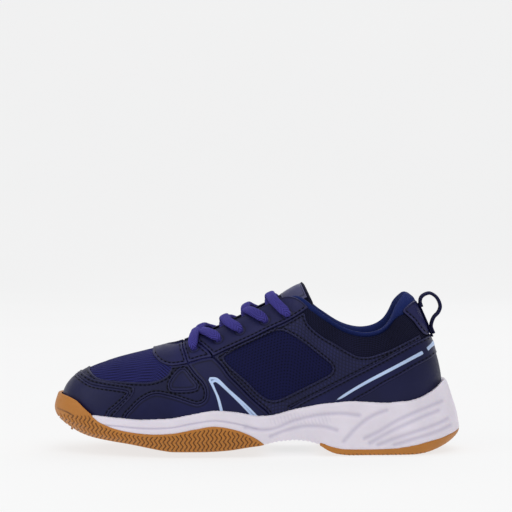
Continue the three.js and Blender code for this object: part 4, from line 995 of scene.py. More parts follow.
# Colour of the film welts: partly wear, partly a painted highlight.
EDGE_HIGHLIGHT_AND_WEAR = tint(44, 44, 80)
FINISHES = {
    "film": Film("navy_film", NAVY, EDGE_HIGHLIGHT_AND_WEAR),
    "film_shiny": Film("navy_film_satin", tint(20, 22, 63), EDGE_HIGHLIGHT_AND_WEAR, roughness=0.4, grain=0.8),
    "film_grid": Film("embossed_navy_film", tint(30, 32, 72), EDGE_HIGHLIGHT_AND_WEAR, grid=2.5),
    "film_grey": Film("eyestay_film", tint(27, 28, 72), tint(52, 52, 92), roughness=0.44),
    "stripe": Film("pale_blue_film", tint(176, 198, 236), tint(196, 212, 240), roughness=0.4, grain=0.5),
    "knit": Fabric("vamp_knit", Weave.CORD_KNIT, tint(40, 41, 100), tint(9, 10, 34), 3.1, 0.5, 0.08),
    "window": Fabric("window_mesh", Weave.BOX_MESH, tint(17, 19, 58), tint(4, 5, 18), 2.3, 0.35, 0.02),
    "collar": Fabric("collar_mesh", Weave.FINE_MESH, tint(26, 27, 56), tint(2, 2, 9), 2.6, 0.45, 0.02),
    "lining": Fabric("brushed_lining", Weave.BRUSHED, tint(26, 40, 98), tint(14, 22, 62), 0.8, 0.12, 0.08),
    "lace": Fabric("woven_lace", Weave.HERRINGBONE, tint(72, 66, 150), tint(26, 24, 72), 1.5, 0.25, 0.2),
    "webbing": Fabric("pull_tab_webbing", Weave.HERRINGBONE, tint(30, 31, 70), tint(11, 12, 32), 1.6,
                      0.25, 0.1),
    "thread": Fabric("sewing_thread", Weave.HERRINGBONE, tint(11, 11, 26), tint(4, 4, 10), 0.5, 0.1, 0.0),
    "foam_sole": Rubber("midsole_foam", tint(228, 221, 232), tint(176, 168, 194), 0.52, 0.06),
    "gum": Rubber("gum_rubber", tint(182, 116, 40), tint(88, 48, 8), 0.5, 0.06, 1300),
    "patch": Film("tongue_patch_film", tint(74, 74, 108), tint(104, 104, 136), roughness=0.36),
    "board": Plain("fibre_board", tint(205, 200, 188), 0.85, 700),
    "foam": Plain("open_foam", tint(228, 222, 200), 0.9, 1600, 0.2),
    "shank": Plain("shank_resin", tint(44, 45, 54), 0.36, 900, 0.04, 0.2),
    "aglet": Plain("aglet_film", tint(84, 84, 150), 0.18, 300, 0.02, 0.7),
}
MADE: dict[str, bpy.types.Material] = {}


def dress(piece: bpy.types.Object, finish: str) -> bpy.types.Object:
    """Give a piece its finish in every material slot.

    Args:
        piece: a new piece or a CAD node.
        finish: a name in FINISHES.

    Returns:
        The piece.
    """
    if finish not in MADE:
        MADE[finish] = FINISHES[finish].material()
    if not piece.material_slots:
        piece.data.materials.append(None)
    for slot in piece.material_slots:
        slot.material = MADE[finish]
    return piece


def enter(piece: bpy.types.Object, finish: str, body: str | None = "shoe",
          nodes: Sequence[str] = ()) -> bpy.types.Object:
    """Dress a new piece, put it on its body and hide the CAD nodes it replaces.

    Args:
        piece: the piece.
        finish: its finish.
        body: the CAD body it rides on; None to leave it on no body.
        nodes: CAD nodes it replaces.

    Returns:
        The piece.
    """
    dress(piece, finish)
    if body:
        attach(piece, body)
    if nodes:
        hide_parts(*nodes)
    LOG.info("%s: %d corners, %d faces", piece.name, len(piece.data.vertices), len(piece.data.polygons))
    return piece


# ---- upper ----
def eyelet_places(last: Last) -> Array:
    """Middles of the ten eyelets, on the wall."""
    return last.point(np.array([*EYELETS, *(RING - v for v in EYELETS)]), EYELET_HEIGHT)


def slope(place: Array, x_low: float, x_high: float, tall: float = 140) -> Array:
    """Distance in front of a slanting plane that stands at x_low on the ground and x_high when tall."""
    lean = (x_high - x_low) / tall
    return (x_low + lean * place[..., 2] - place[..., 0]) / np.hypot(1, lean)


@dataclass
class Upper:
    """The sewn upper: knit shell, welded overlays, trims, stripes, lining and padded collar."""

    last: Last
    eyelet_radius: float = 2.3
    mesh: Layer = Layer(0.0, 0.9, 0.5)
    film: Layer = Layer(0.75, 0.95, 0.55, 0.2, 0.28)
    trim: Layer = Layer(1.35, 0.95, 0.55, 0.2, 0.28)
    stripe: Layer = Layer(2.3, 0.42, 0.3, 0.1)

    def __post_init__(self) -> None:
        """Find the eyelets."""
        self.holes = eyelet_places(self.last)

    def limits(self, a: Array, b: Array, top: Array | None = None) -> Array:
        """Distance inside the sheet's own bounds: the feather line below, and above it the throat's edge
        or, behind the throat, the height where the collar roll begins."""
        under, over = self.last.climb(a, b)
        if top is None:
            top = 0.93 + 0.07 * ramp(np.abs(self.last.signed(a)), 6.4, 7.6)
        high = (top - b) * (under + over)
        open_top = np.abs(self.last.signed(a)) >= THROAT
        return np.minimum(under + 0.4, np.where(open_top, 99.0, high))

    def punched(self, place: Array) -> Array:
        """Distance outside the nearest eyelet hole."""
        gap = np.full(place.shape[0], np.inf)
        for hole in self.holes:
            gap = np.minimum(gap, np.linalg.norm(place - hole, axis=-1))
        return gap - self.eyelet_radius

    def panel(self, part: str, outline: Outline, span: tuple[float, float], layer: Layer, finish: str,
              less: Sequence[Outline] = (), punch: bool = False, fine: float = 20, low: float = 0.0,
              stands: bool = True) -> None:
        """One overlay, cut along its outline.

        Args:
            part: the overlay; its CAD node has the same name.
            outline: its seam in side elevation.
            span: stations between which it lies.
            layer: how it lies.
            finish: its finish.
            less: outlines cut out of it.
            punch: whether the eyelets go through it.
            fine: columns to a station.
            low: share of the wall under which nothing is needed.
            stands: whether it replaces a CAD node.
        """
        seam, windows = Seam(outline), [Seam(w) for w in less]

        def region(place: Array, a: Array, b: Array) -> Array:
            """Least of the distances to all that bounds the overlay."""
            inside = np.minimum(seam.distance(place[:, ::2]), self.limits(a, b))
            for window in windows:
                inside = np.minimum(inside, -window.distance(place[:, ::2]))
            return np.minimum(inside, self.punched(place)) if punch else inside

        size = (int((span[1] - span[0]) * fine), int(92 * (1 - low)))
        sheet = Sheet(self.last, region, span, (low, 1.0), size, layer)
        enter(sheet.build(f"{part}_skin" if stands else part), finish, "shoe", [part] if stands else [])

    def shell(self) -> None:
        """Knit vamp, window mesh and collar mesh: closed sheets under the overlays."""
        field_line = Seam(((-5.6, 0), (-17, 29.6), (-28, 60), (-36, 81), (21.5, 103), (40, 85), (62, 70),
                           (62, 58), (16, 29.6), (12, 0)), sharp=10)
        collar_line = Seam(COLLAR_SEAM)
        vamp = lambda place, a, b: np.minimum(np.minimum(slope(place, -6, -60), self.limits(a, b)),
                                              self.punched(place))
        window = lambda place, a, b: np.minimum(np.minimum(field_line.distance(place[:, ::2]),
                                                           self.limits(a, b)), self.punched(place))
        collar = lambda place, a, b: np.minimum.reduce([
            -field_line.distance(place[:, ::2]) - 0.3, -slope(place, -5.4, -59.4), self.limits(a, b),
            collar_line.distance(place[:, ::2]), self.punched(place)])
        make = lambda name, region, span, fine: Sheet(
            self.last, region, span, (0.0, 1.0), (int((span[1] - span[0]) * fine), 66), self.mesh).build(name)
        enter(make("vamp_knit", vamp, (7, 27), 15), "knit", "shoe", ["vamp_mesh"])
        for side, front, rear in (("lateral", (3, 13), (0, 13)), ("medial", (21, 31), (21, 34))):
            enter(make(f"window_mesh_{side}_skin", window, front, 15), "window", "shoe",
                  [f"window_mesh_{side}"])
            enter(make(f"collar_mesh_{side}_skin", collar, rear, 14), "collar", "shoe",
                  [f"collar_mesh_{side}"])

    def overlays(self) -> None:
        """Welded film panels of the vamp, throat, side and heel."""
        film = self.film
        self.panel("vamp_tab", VAMP_TAB, (10, 24), film, "film_grey", low=0.3)
        self.panel("mudguard", MUDGUARD, (8.2, 25.8), film, "film", less=[MUDGUARD_WINDOW])
        for side, span in (("lateral", (9.5, 13)), ("medial", (21, 24.5))):
            self.panel(f"mudguard_inlay_{side}", MUDGUARD_WINDOW, span, Layer(0.75, 0.5, 0.5, 0.15),
                       "film_shiny", fine=30, stands=False)
        for side, near, stay, waist, quarter in (
                ("lateral", (6.5, 13), (4.5, 13), (6, 15.5), (0.2, 14)),
                ("medial", (21, 27.5), (21, 29.5), (18.5, 28), (20, 33.8))):
            self.panel(f"eyestay_front_{side}", EYESTAY_FRONT, near, film, "film_grey", punch=True,
                       fine=26, low=0.3)
            self.panel(f"eyestay_{side}", EYESTAY, stay, film, "film_grey", punch=True, fine=24, low=0.3)
            self.panel(f"side_panel_{side}", SIDE_PANEL, waist, film, "film_shiny", less=[MUDGUARD])
            self.panel(f"quarter_frame_{side}", QUARTER, quarter, film, "film_grid", less=[QUARTER_WINDOW])
            self.panel(f"side_stripe_{side}", SIDE_STRIPE, near, Layer(1.75, 0.4, 0.3, 0.05), "stripe",
                       fine=34)
        self.panel("heel_counter", HEEL_COUNTER, (-8, 8), film, "film")

    def trims(self) -> None:
        """Second layer: toe rim and cap, heel strap and tab, and the stripes on them."""
        trim, stripe = self.trim, self.stripe
        self.panel("toe_rim", TOE_RIM, (11.5, 22.5), trim, "film", less=[TOE_CAP])
        self.panel("toe_cap", TOE_CAP, (12, 22), trim, "film_shiny")
        self.panel("heel_strap", HEEL_STRAP, (-8.5, 8.5), trim, "film_shiny")
        self.panel("heel_tab", HEEL_TAB, (-3.4, 3.4), trim, "film_grey")
        self.panel("heel_stripe", HEEL_STRIPE, (-7, 7), stripe, "stripe", fine=30)
        self.panel("heel_stripe_back_skin", HEEL_STRIPE_BACK, (-3, 3), stripe, "stripe", fine=30,
                   stands=False)

    def lining(self) -> None:
        """Brushed lining of the vamp and quarters, ending under the collar roll."""
        top = lambda a: 0.6 + 0.4 * ramp(np.abs(self.last.signed(a)), 6.4, 7.6)
        front = lambda place, a, b: np.minimum.reduce([slope(place, -44, -66), self.limits(a, b),
                                                       self.punched(place)])
        rear = lambda place, a, b: np.minimum.reduce([-slope(place, -43.7, -65.7),
                                                      self.limits(a, b, top(a)), self.punched(place)])
        layer = Layer(-2.9, 1.3, 0.6)
        for name, region, span, node in (("vamp_lining_skin", front, (8.5, 25.5), "vamp_lining"),
                                         ("quarter_lining_skin", rear, (-13.4, 13.4), "quarter_lining")):
            size = (int((span[1] - span[0]) * 13), 60)
            sheet = Sheet(self.last, region, span, (0.0, 1.0), size, layer)
            enter(sheet.build(name), "lining", "shoe", [node])

    def collar(self) -> None:
        """Padded collar: a closed section swept round the opening.

        Each section is a smooth closed line through (height, offset) pairs: up the outside from the
        collar seam, over the top line, and down a full pad inside that thins out towards the throat.
        """
        columns, rows = 420, 76
        signed = np.linspace(-7.7, 7.7, columns)
        seam = Seam(COLLAR_SEAM)
        q = np.linspace(0.5, 1, 101)
        net = self.last.offset(signed[:, None], q[None], 0.9)
        outside = seam.distance(net[..., ::2]) < 0
        start = np.where(outside.any(1), q[np.argmax(outside, 1)], 1.0)
        start = np.convolve(np.pad(start, 6, "edge"), np.ones(13) / 13, "valid").clip(0.6, 0.975)
        full = 1 - ramp(np.abs(signed), 4.4, 7.0)
        slim = 1 - ramp(np.abs(signed), 6.8, 7.7)
        room = 1 - start
        inner = lambda thin, thick: thin + (thick - thin) * full
        tall = lambda share: 1 - (1 - share) * (0.45 + 0.55 * full)
        one = np.ones_like(signed)
        sections = [
            (start - 0.03, -0.5 * one), (start + 0.02 * room, 0.5 * one),
            (start + 0.3 * room, inner(1.0, 1.7)), (start + 0.68 * room, inner(1.0, 1.5)),
            (1 - 0.16 * room, inner(0.6, 0.8)), (one, inner(-0.6, -1.6)), (one, inner(-1.8, -3.8)),
            (tall(0.985), inner(-2.6, -6.2)), (tall(0.945), inner(-3.0, -8.2)),
            (tall(0.87), inner(-3.1, -9.3)), (tall(0.77), inner(-3.1, -9.0)),
            (tall(0.66), inner(-3.0, -6.8)), (tall(0.57), inner(-2.9, -4.0)), (tall(0.53), -2.6 * one),
            (tall(0.54), -1.8 * one), (tall(0.68), -1.5 * one), (tall(0.82), -1.4 * one)]
        heights, depths = (Line(np.stack(knots), True).at(np.arange(rows) / rows).T
                           for knots in zip(*sections))
        heights = heights.clip(0.4, 1.0)
        middle = -1.2
        depths = middle + (depths - middle) * (0.25 + 0.75 * slim)[:, None]
        stations = np.broadcast_to(signed[:, None], heights.shape)
        points = self.last.offset(stations, heights, depths)
        crest = np.exp(-(((depths + 4.5) / 5.0) ** 2)) * ramp(heights, 0.8, 1)
        points[..., 2] += 3.8 * crest * np.exp(-(((stations + 0.6) / 2.8) ** 2))
        ends = points[[0, -1]].mean(1)
        flat = points.reshape(-1, 3)
        faces = [net_faces(columns, rows, round_b=True), *end_fans(len(flat), rows)]
        cloth = self.last.cloth(stations, heights)
        cloth[..., 1] = heights * 90 + depths
        cloth = np.vstack([cloth.reshape(-1, 3), np.zeros((2, 3))])
        piece = make_piece("collar_pad", np.vstack([flat, ends]), faces, {"cloth": cloth})
        enter(piece, "lining", "shoe", ["collar_foam"])

    def build(self) -> None:
        """Make the whole upper."""
        self.shell()
        self.overlays()
        self.trims()
        self.lining()
        self.collar()
        for node in ("heel_stiffener", "toe_puff", "strobel_board"):
            dress(bpy.data.objects[node], "board")


@dataclass
class Stitching:
    """Rows of sewn stitches, each a small closed spindle lying on the surface."""

    last: Last
    length: float = 2.3
    pitch: float = 3.2
    radius: float = 0.38

    def spindles(self, name: str, centres: Array, ways: Array, normals: Array) -> bpy.types.Object:
        """One piece of many stitches: circles whose radius follows half an ellipse, bowed upwards.

        Args:
            name: the piece's name.
            centres: middles of the stitches.
            ways: unit directions along them.
            normals: unit directions away from the surface.

        Returns:
            The piece.
        """
        s = np.array([-1, -0.82, -0.4, 0.4, 0.82, 1])
        angle = np.arange(6) / 6 * 2 * np.pi
        side = np.cross(ways, normals)
        bow = (1 - s**2) * 0.16
        spine = (centres[:, None] + ways[:, None] * (s * self.length / 2)[None, :, None]
                 + normals[:, None] * bow[None, :, None])
        wide = np.sqrt(np.clip(1 - s**2, 0, 1)) * self.radius
        ring = (normals[:, None, None] * np.cos(angle)[None, None, :, None]
                + side[:, None, None] * np.sin(angle)[None, None, :, None])
        points = (spine[:, :, None] + ring * wide[None, :, None, None]).reshape(-1, 3)
        one = net_faces(6, 6, round_b=True)
        faces = (one[None] + (np.arange(len(centres)) * 36)[:, None, None]).reshape(-1, 4)
        cloth = np.stack([np.broadcast_to((s * self.length / 2)[None, :, None], (len(centres), 6, 6)),
                          np.broadcast_to(angle[None, None] * self.radius, (len(centres), 6, 6)),
                          np.zeros((len(centres), 6, 6))], -1).reshape(-1, 3)
        return make_piece(name, points, [faces[:, ::-1]], {"cloth": cloth})

    def row(self, path: Array, lateral: bool, depth: float) -> tuple[Array, Array, Array]:
        """Places, directions and normals of the stitches along one closed path in side elevation.

        Args:
            path: the path's points (x, z).
            lateral: which side it is sewn on.
            depth: offset of the surface that it is sewn through.

        Returns:
            Centres, directions and normals; stitches that would leave the side or the sole are left out.
        """
        line = np.vstack([path, path[:1]])
        gone = travelled(line)
        marks = np.arange(self.pitch / 2, gone[-1], self.pitch)
        at = lambda m: np.stack([np.interp(m, gone, line[:, 0]), np.interp(m, gone, line[:, 1])], -1)
        a, b = self.last.find(at(marks), lateral, depth)
        a2, b2 = self.last.find(at(np.minimum(marks + 0.4, gone[-1])), lateral, depth)
        centres, ahead = self.last.offset(a, b, depth), self.last.offset(a2, b2, depth)
        from_heel, step = np.abs(self.last.signed(a)), np.linalg.norm(ahead - centres, axis=1)
        good = ((np.linalg.norm(centres[:, ::2] - at(marks), axis=1) < 0.4)
                & (b < 0.9 + 0.075 * ramp(from_heel, 6.8, 7.8)) & (from_heel > 0.3)
                & (step > 0.1) & (step < 2) & (centres[:, 2] > SOLE.bite(centres[:, 0]) + 1.2))
        return centres[good], unit(ahead - centres)[good], self.last.normal(a, b)[good]

    def sew(self, name: str, *rows: tuple[Outline, float, float]) -> None:
        """Sew rows on both sides of the shoe.

        Args:
            name: the piece's name.
            rows: the outline followed, how far inside it, and the depth, for each row.
        """
        paths = [(Seam(outline).inset(inset).line, depth) for outline, inset, depth in rows]
        sewn = [self.row(path, lateral, depth) for path, depth in paths for lateral in (True, False)]
        centres, ways, normals = (np.vstack([part[k] for part in sewn]) for k in range(3))
        enter(self.spindles(name, centres, ways, normals), "thread")

    def build(self) -> None:
        """Sew the overlays down."""
        film, trim = 1.95, 2.55
        self.sew("seam_vamp", (VAMP_TAB, 1.9, film), (MUDGUARD, 1.9, film))
        self.sew("seam_mudguard_window", (MUDGUARD_WINDOW, -1.7, film))
        self.sew("seam_throat", (EYESTAY_FRONT, 1.9, film), (EYESTAY, 1.9, film))
        self.sew("seam_quarter", (QUARTER, 1.9, film), (QUARTER_WINDOW, -1.9, film))
        self.sew("seam_toe", (TOE_RIM, 1.8, trim), (TOE_CAP, 1.8, trim))
        self.sew("seam_heel", (HEEL_STRAP, 1.8, trim), (HEEL_TAB, 1.8, trim), (HEEL_COUNTER, 2.0, film))


# ---- sole ----
SOLE = SoleShape()


@dataclass
class SoleUnit:
    """Foam midsole with its cup and moulded grooves, gum outsoles with a herringbone tread, shank."""

    last: Last
    columns: int = 760
    wall_rows: int = 40
    tread_pitch: float = 3.1
    tread_width: float = 0.78
    tread_depth: float = 0.9

    def carve(self, place: Array) -> tuple[Array, Array]:
        """Relief and shade of the midsole's side.

        Each groove is a hollow whose depth falls off as a bell across it; fine ribs stand over the arch.

        Args:
            place: points of the wall.

        Returns:
            Relief in millimetres, and the painted shade of each point, from how far into a groove or arch rib
            it lies, 0 to 1.
        """
        flat = place[..., ::2]
        relief, shade = np.zeros(place.shape[:-1]), np.zeros(place.shape[:-1])
        for k, groove in enumerate(MIDSOLE_GROOVES):
            gap = Seam(groove, closed=False).distance(flat)
            wide, deep = ((0.7, 0.5) if k == 0 else (1.6, 1.0))
            bell = np.exp(-((gap / wide) ** 2))
            relief -= deep * bell
            shade = np.maximum(shade, bell * (0.6 if k == 0 else 0.44))
        x, z = place[..., 0], place[..., 2]
        arch = ramp(x, 4, 12) * (1 - ramp(x, 50, 58)) * ramp(z, 22, 23.5) * (1 - ramp(z, 30, 33))
        rib = 0.5 + 0.5 * np.cos(2 * np.pi * (x + 0.35 * z) / 2.7)
        relief -= 0.35 * arch * rib
        swell = 0.7 * np.sin((x - 60) / 34 * np.pi) * ramp(x, 60, 80)
        swell = swell * ramp(z, 10, 16) * (1 - ramp(z, 30, 38))
        return relief + swell * 0.5, np.maximum(shade, 0.22 * arch * rib)

    def midsole(self) -> None:
        """Closed foam body: underside, carved wall, rim, and the cup that holds the upper.

        The wall is the sole's own surface; from its rim the section runs level to the upper, down
        beside it to the feather line, and in to the middle of the cup's floor.
        """
        a = np.arange(self.columns) / self.columns
        turn = SoleShape.TURN
        floor_b = turn * np.array([0, 0.3, 0.55, 0.75, 0.9, 0.97])
        wall_b = turn + (1 - turn) * np.linspace(0.004, 1, self.wall_rows)
        b = np.concatenate([floor_b, wall_b])
        grid_a, grid_b = np.meshgrid(a, b, indexing="ij")
        outside = SOLE.point(grid_a, grid_b)
        relief, shade = self.carve(outside)
        on_wall = ramp(grid_b, turn + 0.02, turn + 0.08) * (1 - ramp(grid_b, 0.93, 0.99))
        gum = np.maximum(Seam(GUM_FOREFOOT).distance(outside[..., ::2]),
                         Seam(GUM_HEEL).distance(outside[..., ::2]))
        under_gum = ramp(gum, -0.2, 0.5)
        depth = relief * on_wall * (1 - under_gum) - 0.7 * under_gum
        saw = np.abs(np.mod(outside[..., 0] / 3.2, 1) - 0.5) * 2
        arch = ramp(outside[..., 0], 8, 12) * (1 - ramp(outside[..., 0], 45, 49))
        low = 1 - ramp(grid_b, turn + 0.05, turn + 0.22)
        outside = SOLE.offset(grid_a, grid_b, depth)
        outside[..., 2] += 0.8 * saw * arch * low * (grid_b > turn * 0.85)
        toe = 1 - ramp(outside[..., 0], -124, -117)
        outside[..., 2] -= 3.5 * toe * ramp(grid_b, 0.72, 1)
        shade = shade * on_wall * (1 - under_gum)
        rim = outside[:, -1]
        stations = self.partner(rim)
        heights = self.bite_height(stations) * (1 - 0.4 * toe[:, -1])
        inner = [self.last.offset(stations, heights * share, depth)
                 for share, depth in ((1.0, 1.0), (0.6, 1.0), (0.2, 0.6))]
        foot = self.last.point(stations, 0.0) - [0, 0, 0.3]
        spine = np.stack([foot[:, 0] * 0.9, np.full(len(foot), MIDDLE_Y), foot[:, 2]], -1)
        rows = [*inner, foot, foot + (spine - foot) * 0.5, spine]
        points = np.concatenate([outside, np.stack(rows, 1)], 1)
        count = points.shape[1]
        marks = np.concatenate([shade, np.zeros((self.columns, len(rows)))], 1)
        faces = [net_faces(self.columns, count, round_a=True), *closing_strips(self.columns, count)]
        flat = points.reshape(-1, 3)
        piece = make_piece("midsole_foam_body", flat, faces, {"mark": marks.ravel(), "cloth": flat}, sharp=58)
        enter(piece, "foam_sole", "shoe", ["midsole"])

    def partner(self, rim: Array) -> Array:
        """Stations of the upper beside the points of the rim, matched along the shoe's length."""
        t = np.linspace(0, STATIONS, 400)
        walls = [self.last.point(side, 0.12)[:, 0] for side in (t, RING - t)]
        low, high = min(w.min() for w in walls), max(w.max() for w in walls)
        share = (rim[:, 0] - rim[:, 0].min()) / (rim[:, 0].max() - rim[:, 0].min())
        want = low + (high - low) * share
        lateral = np.interp(-want, -walls[0], t)
        medial = RING - np.interp(-want, -walls[1], t)
        return np.where(np.arange(len(rim)) < len(rim) // 2, lateral, medial)

    def bite_height(self, stations: Array) -> Array:
        """Share of the wall at which it reaches the rim's height."""
        q = np.linspace(0, 0.6, 121)
        net = self.last.offset(stations[:, None], q[None], 1.0)
        over = net[..., 2] - SOLE.bite(net[..., 0])
        return q[np.argmax(over > 0, 1)]

    def tread(self, place: Array, a: Array, b: Array) -> Array:
        """Number of the zigzag groove at each point: length along the shoe, moved to and fro by a
        triangle wave of the way down the wall and in under the foot, over the pitch."""
        turn = SoleShape.TURN
        edge = SOLE.point(a, turn + 0.02)
        climb = np.where(b > turn, place[:, 2] - edge[:, 2], -np.abs(place[:, 1] - edge[:, 1]))
        zig = np.abs(np.mod(climb / 5.6, 1) - 0.5) * 2
        return (place[:, 0] + 2.3 * zig) / self.tread_pitch

    def gum(self, name: str, outline: Outline, node: str, span: tuple[float, float],
            size: tuple[int, int], heel: bool) -> None:
        """One gum outsole: a shell over the midsole with its tread cut in.

        Args:
            name: the piece's name.
            outline: its edge in side elevation.
            node: the CAD node that it replaces.
            span: shares of the way round between which it lies.
            size: columns and rows of its net.
            heel: whether it is the heel's, whose tread is cut underneath only.
        """
        seam = Seam(outline)

        def region(place: Array, a: Array, b: Array) -> Array:
            """Distance inside the outline and under the rim."""
            wall = SOLE.bite(place[:, 0]) - SOLE.ground(place[:, 0])
            return np.minimum(seam.distance(place[:, ::2]), (1 - b) / (1 - SoleShape.TURN) * wall)

        low, high = (44, 150) if heel else (-150, 8)
        first, final = int(low / self.tread_pitch), int(high / self.tread_pitch) + 1
        half = self.tread_width / self.tread_pitch
        levels = [k + step for k in range(first, final) for step in (-half, 0, half)]

        def relief(place: Array, a: Array, b: Array, mark: Array) -> Array:
            """Hollow that is deepest along each whole groove number, kept off the edge band."""
            gap = np.abs(mark - np.round(mark)) / half
            open_area = ramp(seam.distance(place[:, ::2]), 1.6, 2.2)
            if heel:
                open_area = open_area * (b < SoleShape.TURN - 0.015)
            else:
                open_area = open_area * (1 - ramp(place[:, 2], 26.5, 28.5) * (place[:, 0] < -120))
            return -self.tread_depth * np.clip(1 - gap, 0, 1) * open_area

        sheet = Sheet(SOLE, region, span, (0.0, 1.0), size, Layer(-1.9, 2.15, 0.5), relief, self.tread,
                      tuple(levels))
        piece = sheet.build(name)
        mesh = piece.data
        mark, edge, place = (np.zeros(len(mesh.vertices) * wide, np.float32) for wide in (1, 1, 3))
        mesh.attributes["mark"].data.foreach_get("value", mark)
        mesh.attributes["edge"].data.foreach_get("value", edge)
        mesh.vertices.foreach_get("co", place)
        place = place.reshape(-1, 3) / MM
        # Painted shade in the tread grooves, and a painted shade line along the toe slot, where no groove is
        # cut.
        gap = np.clip(1 - np.abs(mark - np.round(mark)) / half, 0, 1) * (edge > 1.7)
        top = 1 - ramp(place[:, 2], 26.5, 28.5) * (place[:, 0] < -120)
        if heel:
            gap = gap * (place[:, 2] < 1.2)
        slot = Seam(TOE_SLOT, closed=False).distance(place[:, ::2])
        shade = np.maximum(gap * top, np.exp(-((slot / 0.5) ** 2)) * (place[:, 0] < -120))
        mesh.attributes["mark"].data.foreach_set("value", shade.astype(np.float32))
        enter(piece, "gum", "shoe", [node])

    def build(self) -> None:
        """Make the sole unit."""
        self.midsole()
        self.gum("outsole_forefoot_tread", GUM_FOREFOOT, "outsole_forefoot", (0.2, 0.8), (236, 46), False)
        self.gum("outsole_heel_tread", GUM_HEEL, "outsole_heel", (-0.26, 0.26), (240, 60), True)
        dress(bpy.data.objects["shank_plate"], "shank")


# ---- tongue ----
class TonguePlane(Surface):
    """Face of the tongue: a runs across from -1 to 1, b along it from the vamp to its free edge."""

    HALF, LENGTH = 22.5, 128

    def __init__(self) -> None:
        """Set out the middle line."""
        line = np.array(TONGUE_LINE, float)
        self.line = Line(np.stack([line[:, 0], np.full(len(line), 1.5), line[:, 1]], -1))

    def half(self, b: Array) -> Array:
        """Half width, a little less towards the free edge."""
        return self.HALF * (1 - 0.1 * ramp(b, 0.66, 1))

    def frame(self, b: Array) -> tuple[Array, Array]:
        """Points of the middle line and the way out of the face there."""
        along = self.line.at(np.minimum(b + 1e-4, 1)) - self.line.at(np.maximum(b - 1e-4, 0))
        return self.line.at(b), unit(np.stack([-along[..., 2], np.zeros_like(b), along[..., 0]], -1))

    def point(self, a: Array, b: Array) -> Array:
        """Middle line, carried across and dropped with the square of the way off centre."""
        a, b = np.broadcast_arrays(np.asarray(a, float), np.asarray(b, float))
        place, up = self.frame(b)
        y = self.half(b) * a
        drop = 0.028 + 0.012 * ramp(b, 0.7, 1)
        place = place - up * (drop * y * y)[..., None]
        return place + np.stack([0 * y, y, 0 * y], -1)

    def normal(self, a: Array, b: Array) -> Array:
        """Outward directions from small steps."""
        a, b = np.broadcast_arrays(np.asarray(a, float), np.asarray(b, float))
        around = self.point(a + 1e-3, b) - self.point(a - 1e-3, b)
        up = self.point(a, np.minimum(b + 1e-3, 1)) - self.point(a, np.maximum(b - 1e-3, 0))
        return unit(np.cross(up, around))


@dataclass
class Tongue:
    """Padded tongue with a bound edge, and the plain patch on its top."""

    plane: TonguePlane
    thickness: float = 5.6

    def pad(self) -> None:
        """Closed pad: a flattened oval swept along the face, thinning at both ends, crowned between
        two sewn channels, with a rolled rim at its free edge."""
        rows, around = 150, 72
        b = 0.5 - 0.5 * np.cos(np.linspace(0, np.pi, rows))
        angle = np.arange(around) / around * 2 * np.pi
        cosine, sine = np.cos(angle), np.sin(angle)
        across = np.sign(cosine) * np.abs(cosine) ** 0.8
        end = np.sqrt(np.clip(1 - (1 - np.minimum(b, 1 - b) / 0.02).clip(0, 1) ** 2, 0, 1))
        half_thick = self.thickness / 2
        grid_a, grid_b = np.broadcast_arrays(across[None], b[:, None])
        sag = half_thick * np.sign(sine)[None] * np.abs(sine[None]) ** 0.62 * end[:, None]
        channel = (np.exp(-(((np.abs(grid_a) - 0.86) / 0.04) ** 2))
                   + np.exp(-(((grid_b - 0.775) / 0.006) ** 2)))
        rim = 0.5 * np.exp(-(((grid_b - 0.985) / 0.012) ** 2))
        crown = 0.5 * np.cos(grid_a * np.pi / 2) * ramp(grid_b, 0.5, 0.8)
        lift = np.where(sine[None] > 0, crown + rim - 0.7 * channel, 0)
        shift = -half_thick + sag + lift * (np.abs(sine[None]) ** 0.5) * end[:, None]
        points = self.plane.offset(grid_a * (0.9 + 0.1 * end[:, None]), grid_b, shift)
        cloth = np.stack([grid_b * self.plane.LENGTH, grid_a * self.plane.HALF, np.zeros_like(grid_a)], -1)
        faces = net_faces(rows, around, round_b=True)
        piece = make_piece("tongue_pad", points.reshape(-1, 3), [faces], {"cloth": cloth.reshape(-1, 3)})
        enter(piece, "collar", None, [
            "tongue_face", "tongue_foam", "tongue_lining", "tongue_top_face", "tongue_top_foam",
            "tongue_top_lining"])
        start, stop = (self.plane.line.at(np.array(v)) * MM for v in (0.7, 0.82))
        tuple(start)
        tuple(stop)
        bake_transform(piece)

    def patch(self) -> None:
        """Plain film patch sewn on the top, with rounded corners and a debossed border line."""
        corners = ((-0.74, 0.795), (-0.8, 0.8), (-0.8, 0.965), (-0.72, 0.976), (0.72, 0.976), (0.8, 0.965),
                   (0.8, 0.8), (0.74, 0.795))
        half, length = 19.5, self.plane.LENGTH
        seam = Seam([(a * half, b * length) for a, b in corners], sharp=80)
        region = lambda place, a, b: seam.distance(np.stack([a * half, b * length], -1))

        def border(place: Array, a: Array, b: Array, mark: Array) -> Array:
            """Shallow line two millimetres inside the edge."""
            return -0.25 * np.exp(-(((region(place, a, b) - 2.4) / 0.4) ** 2))

        sheet = Sheet(self.plane, region, (-0.88, 0.88), (0.78, 0.995), (100, 84),
                      Layer(-0.3, 0.95, 0.5, 0.15), border)
        enter(sheet.build("tongue_patch_film"), "patch", "tongue_top", ["tongue_top_patch"])

    def build(self) -> None:
        """Make the tongue."""
        self.pad()
        self.patch()


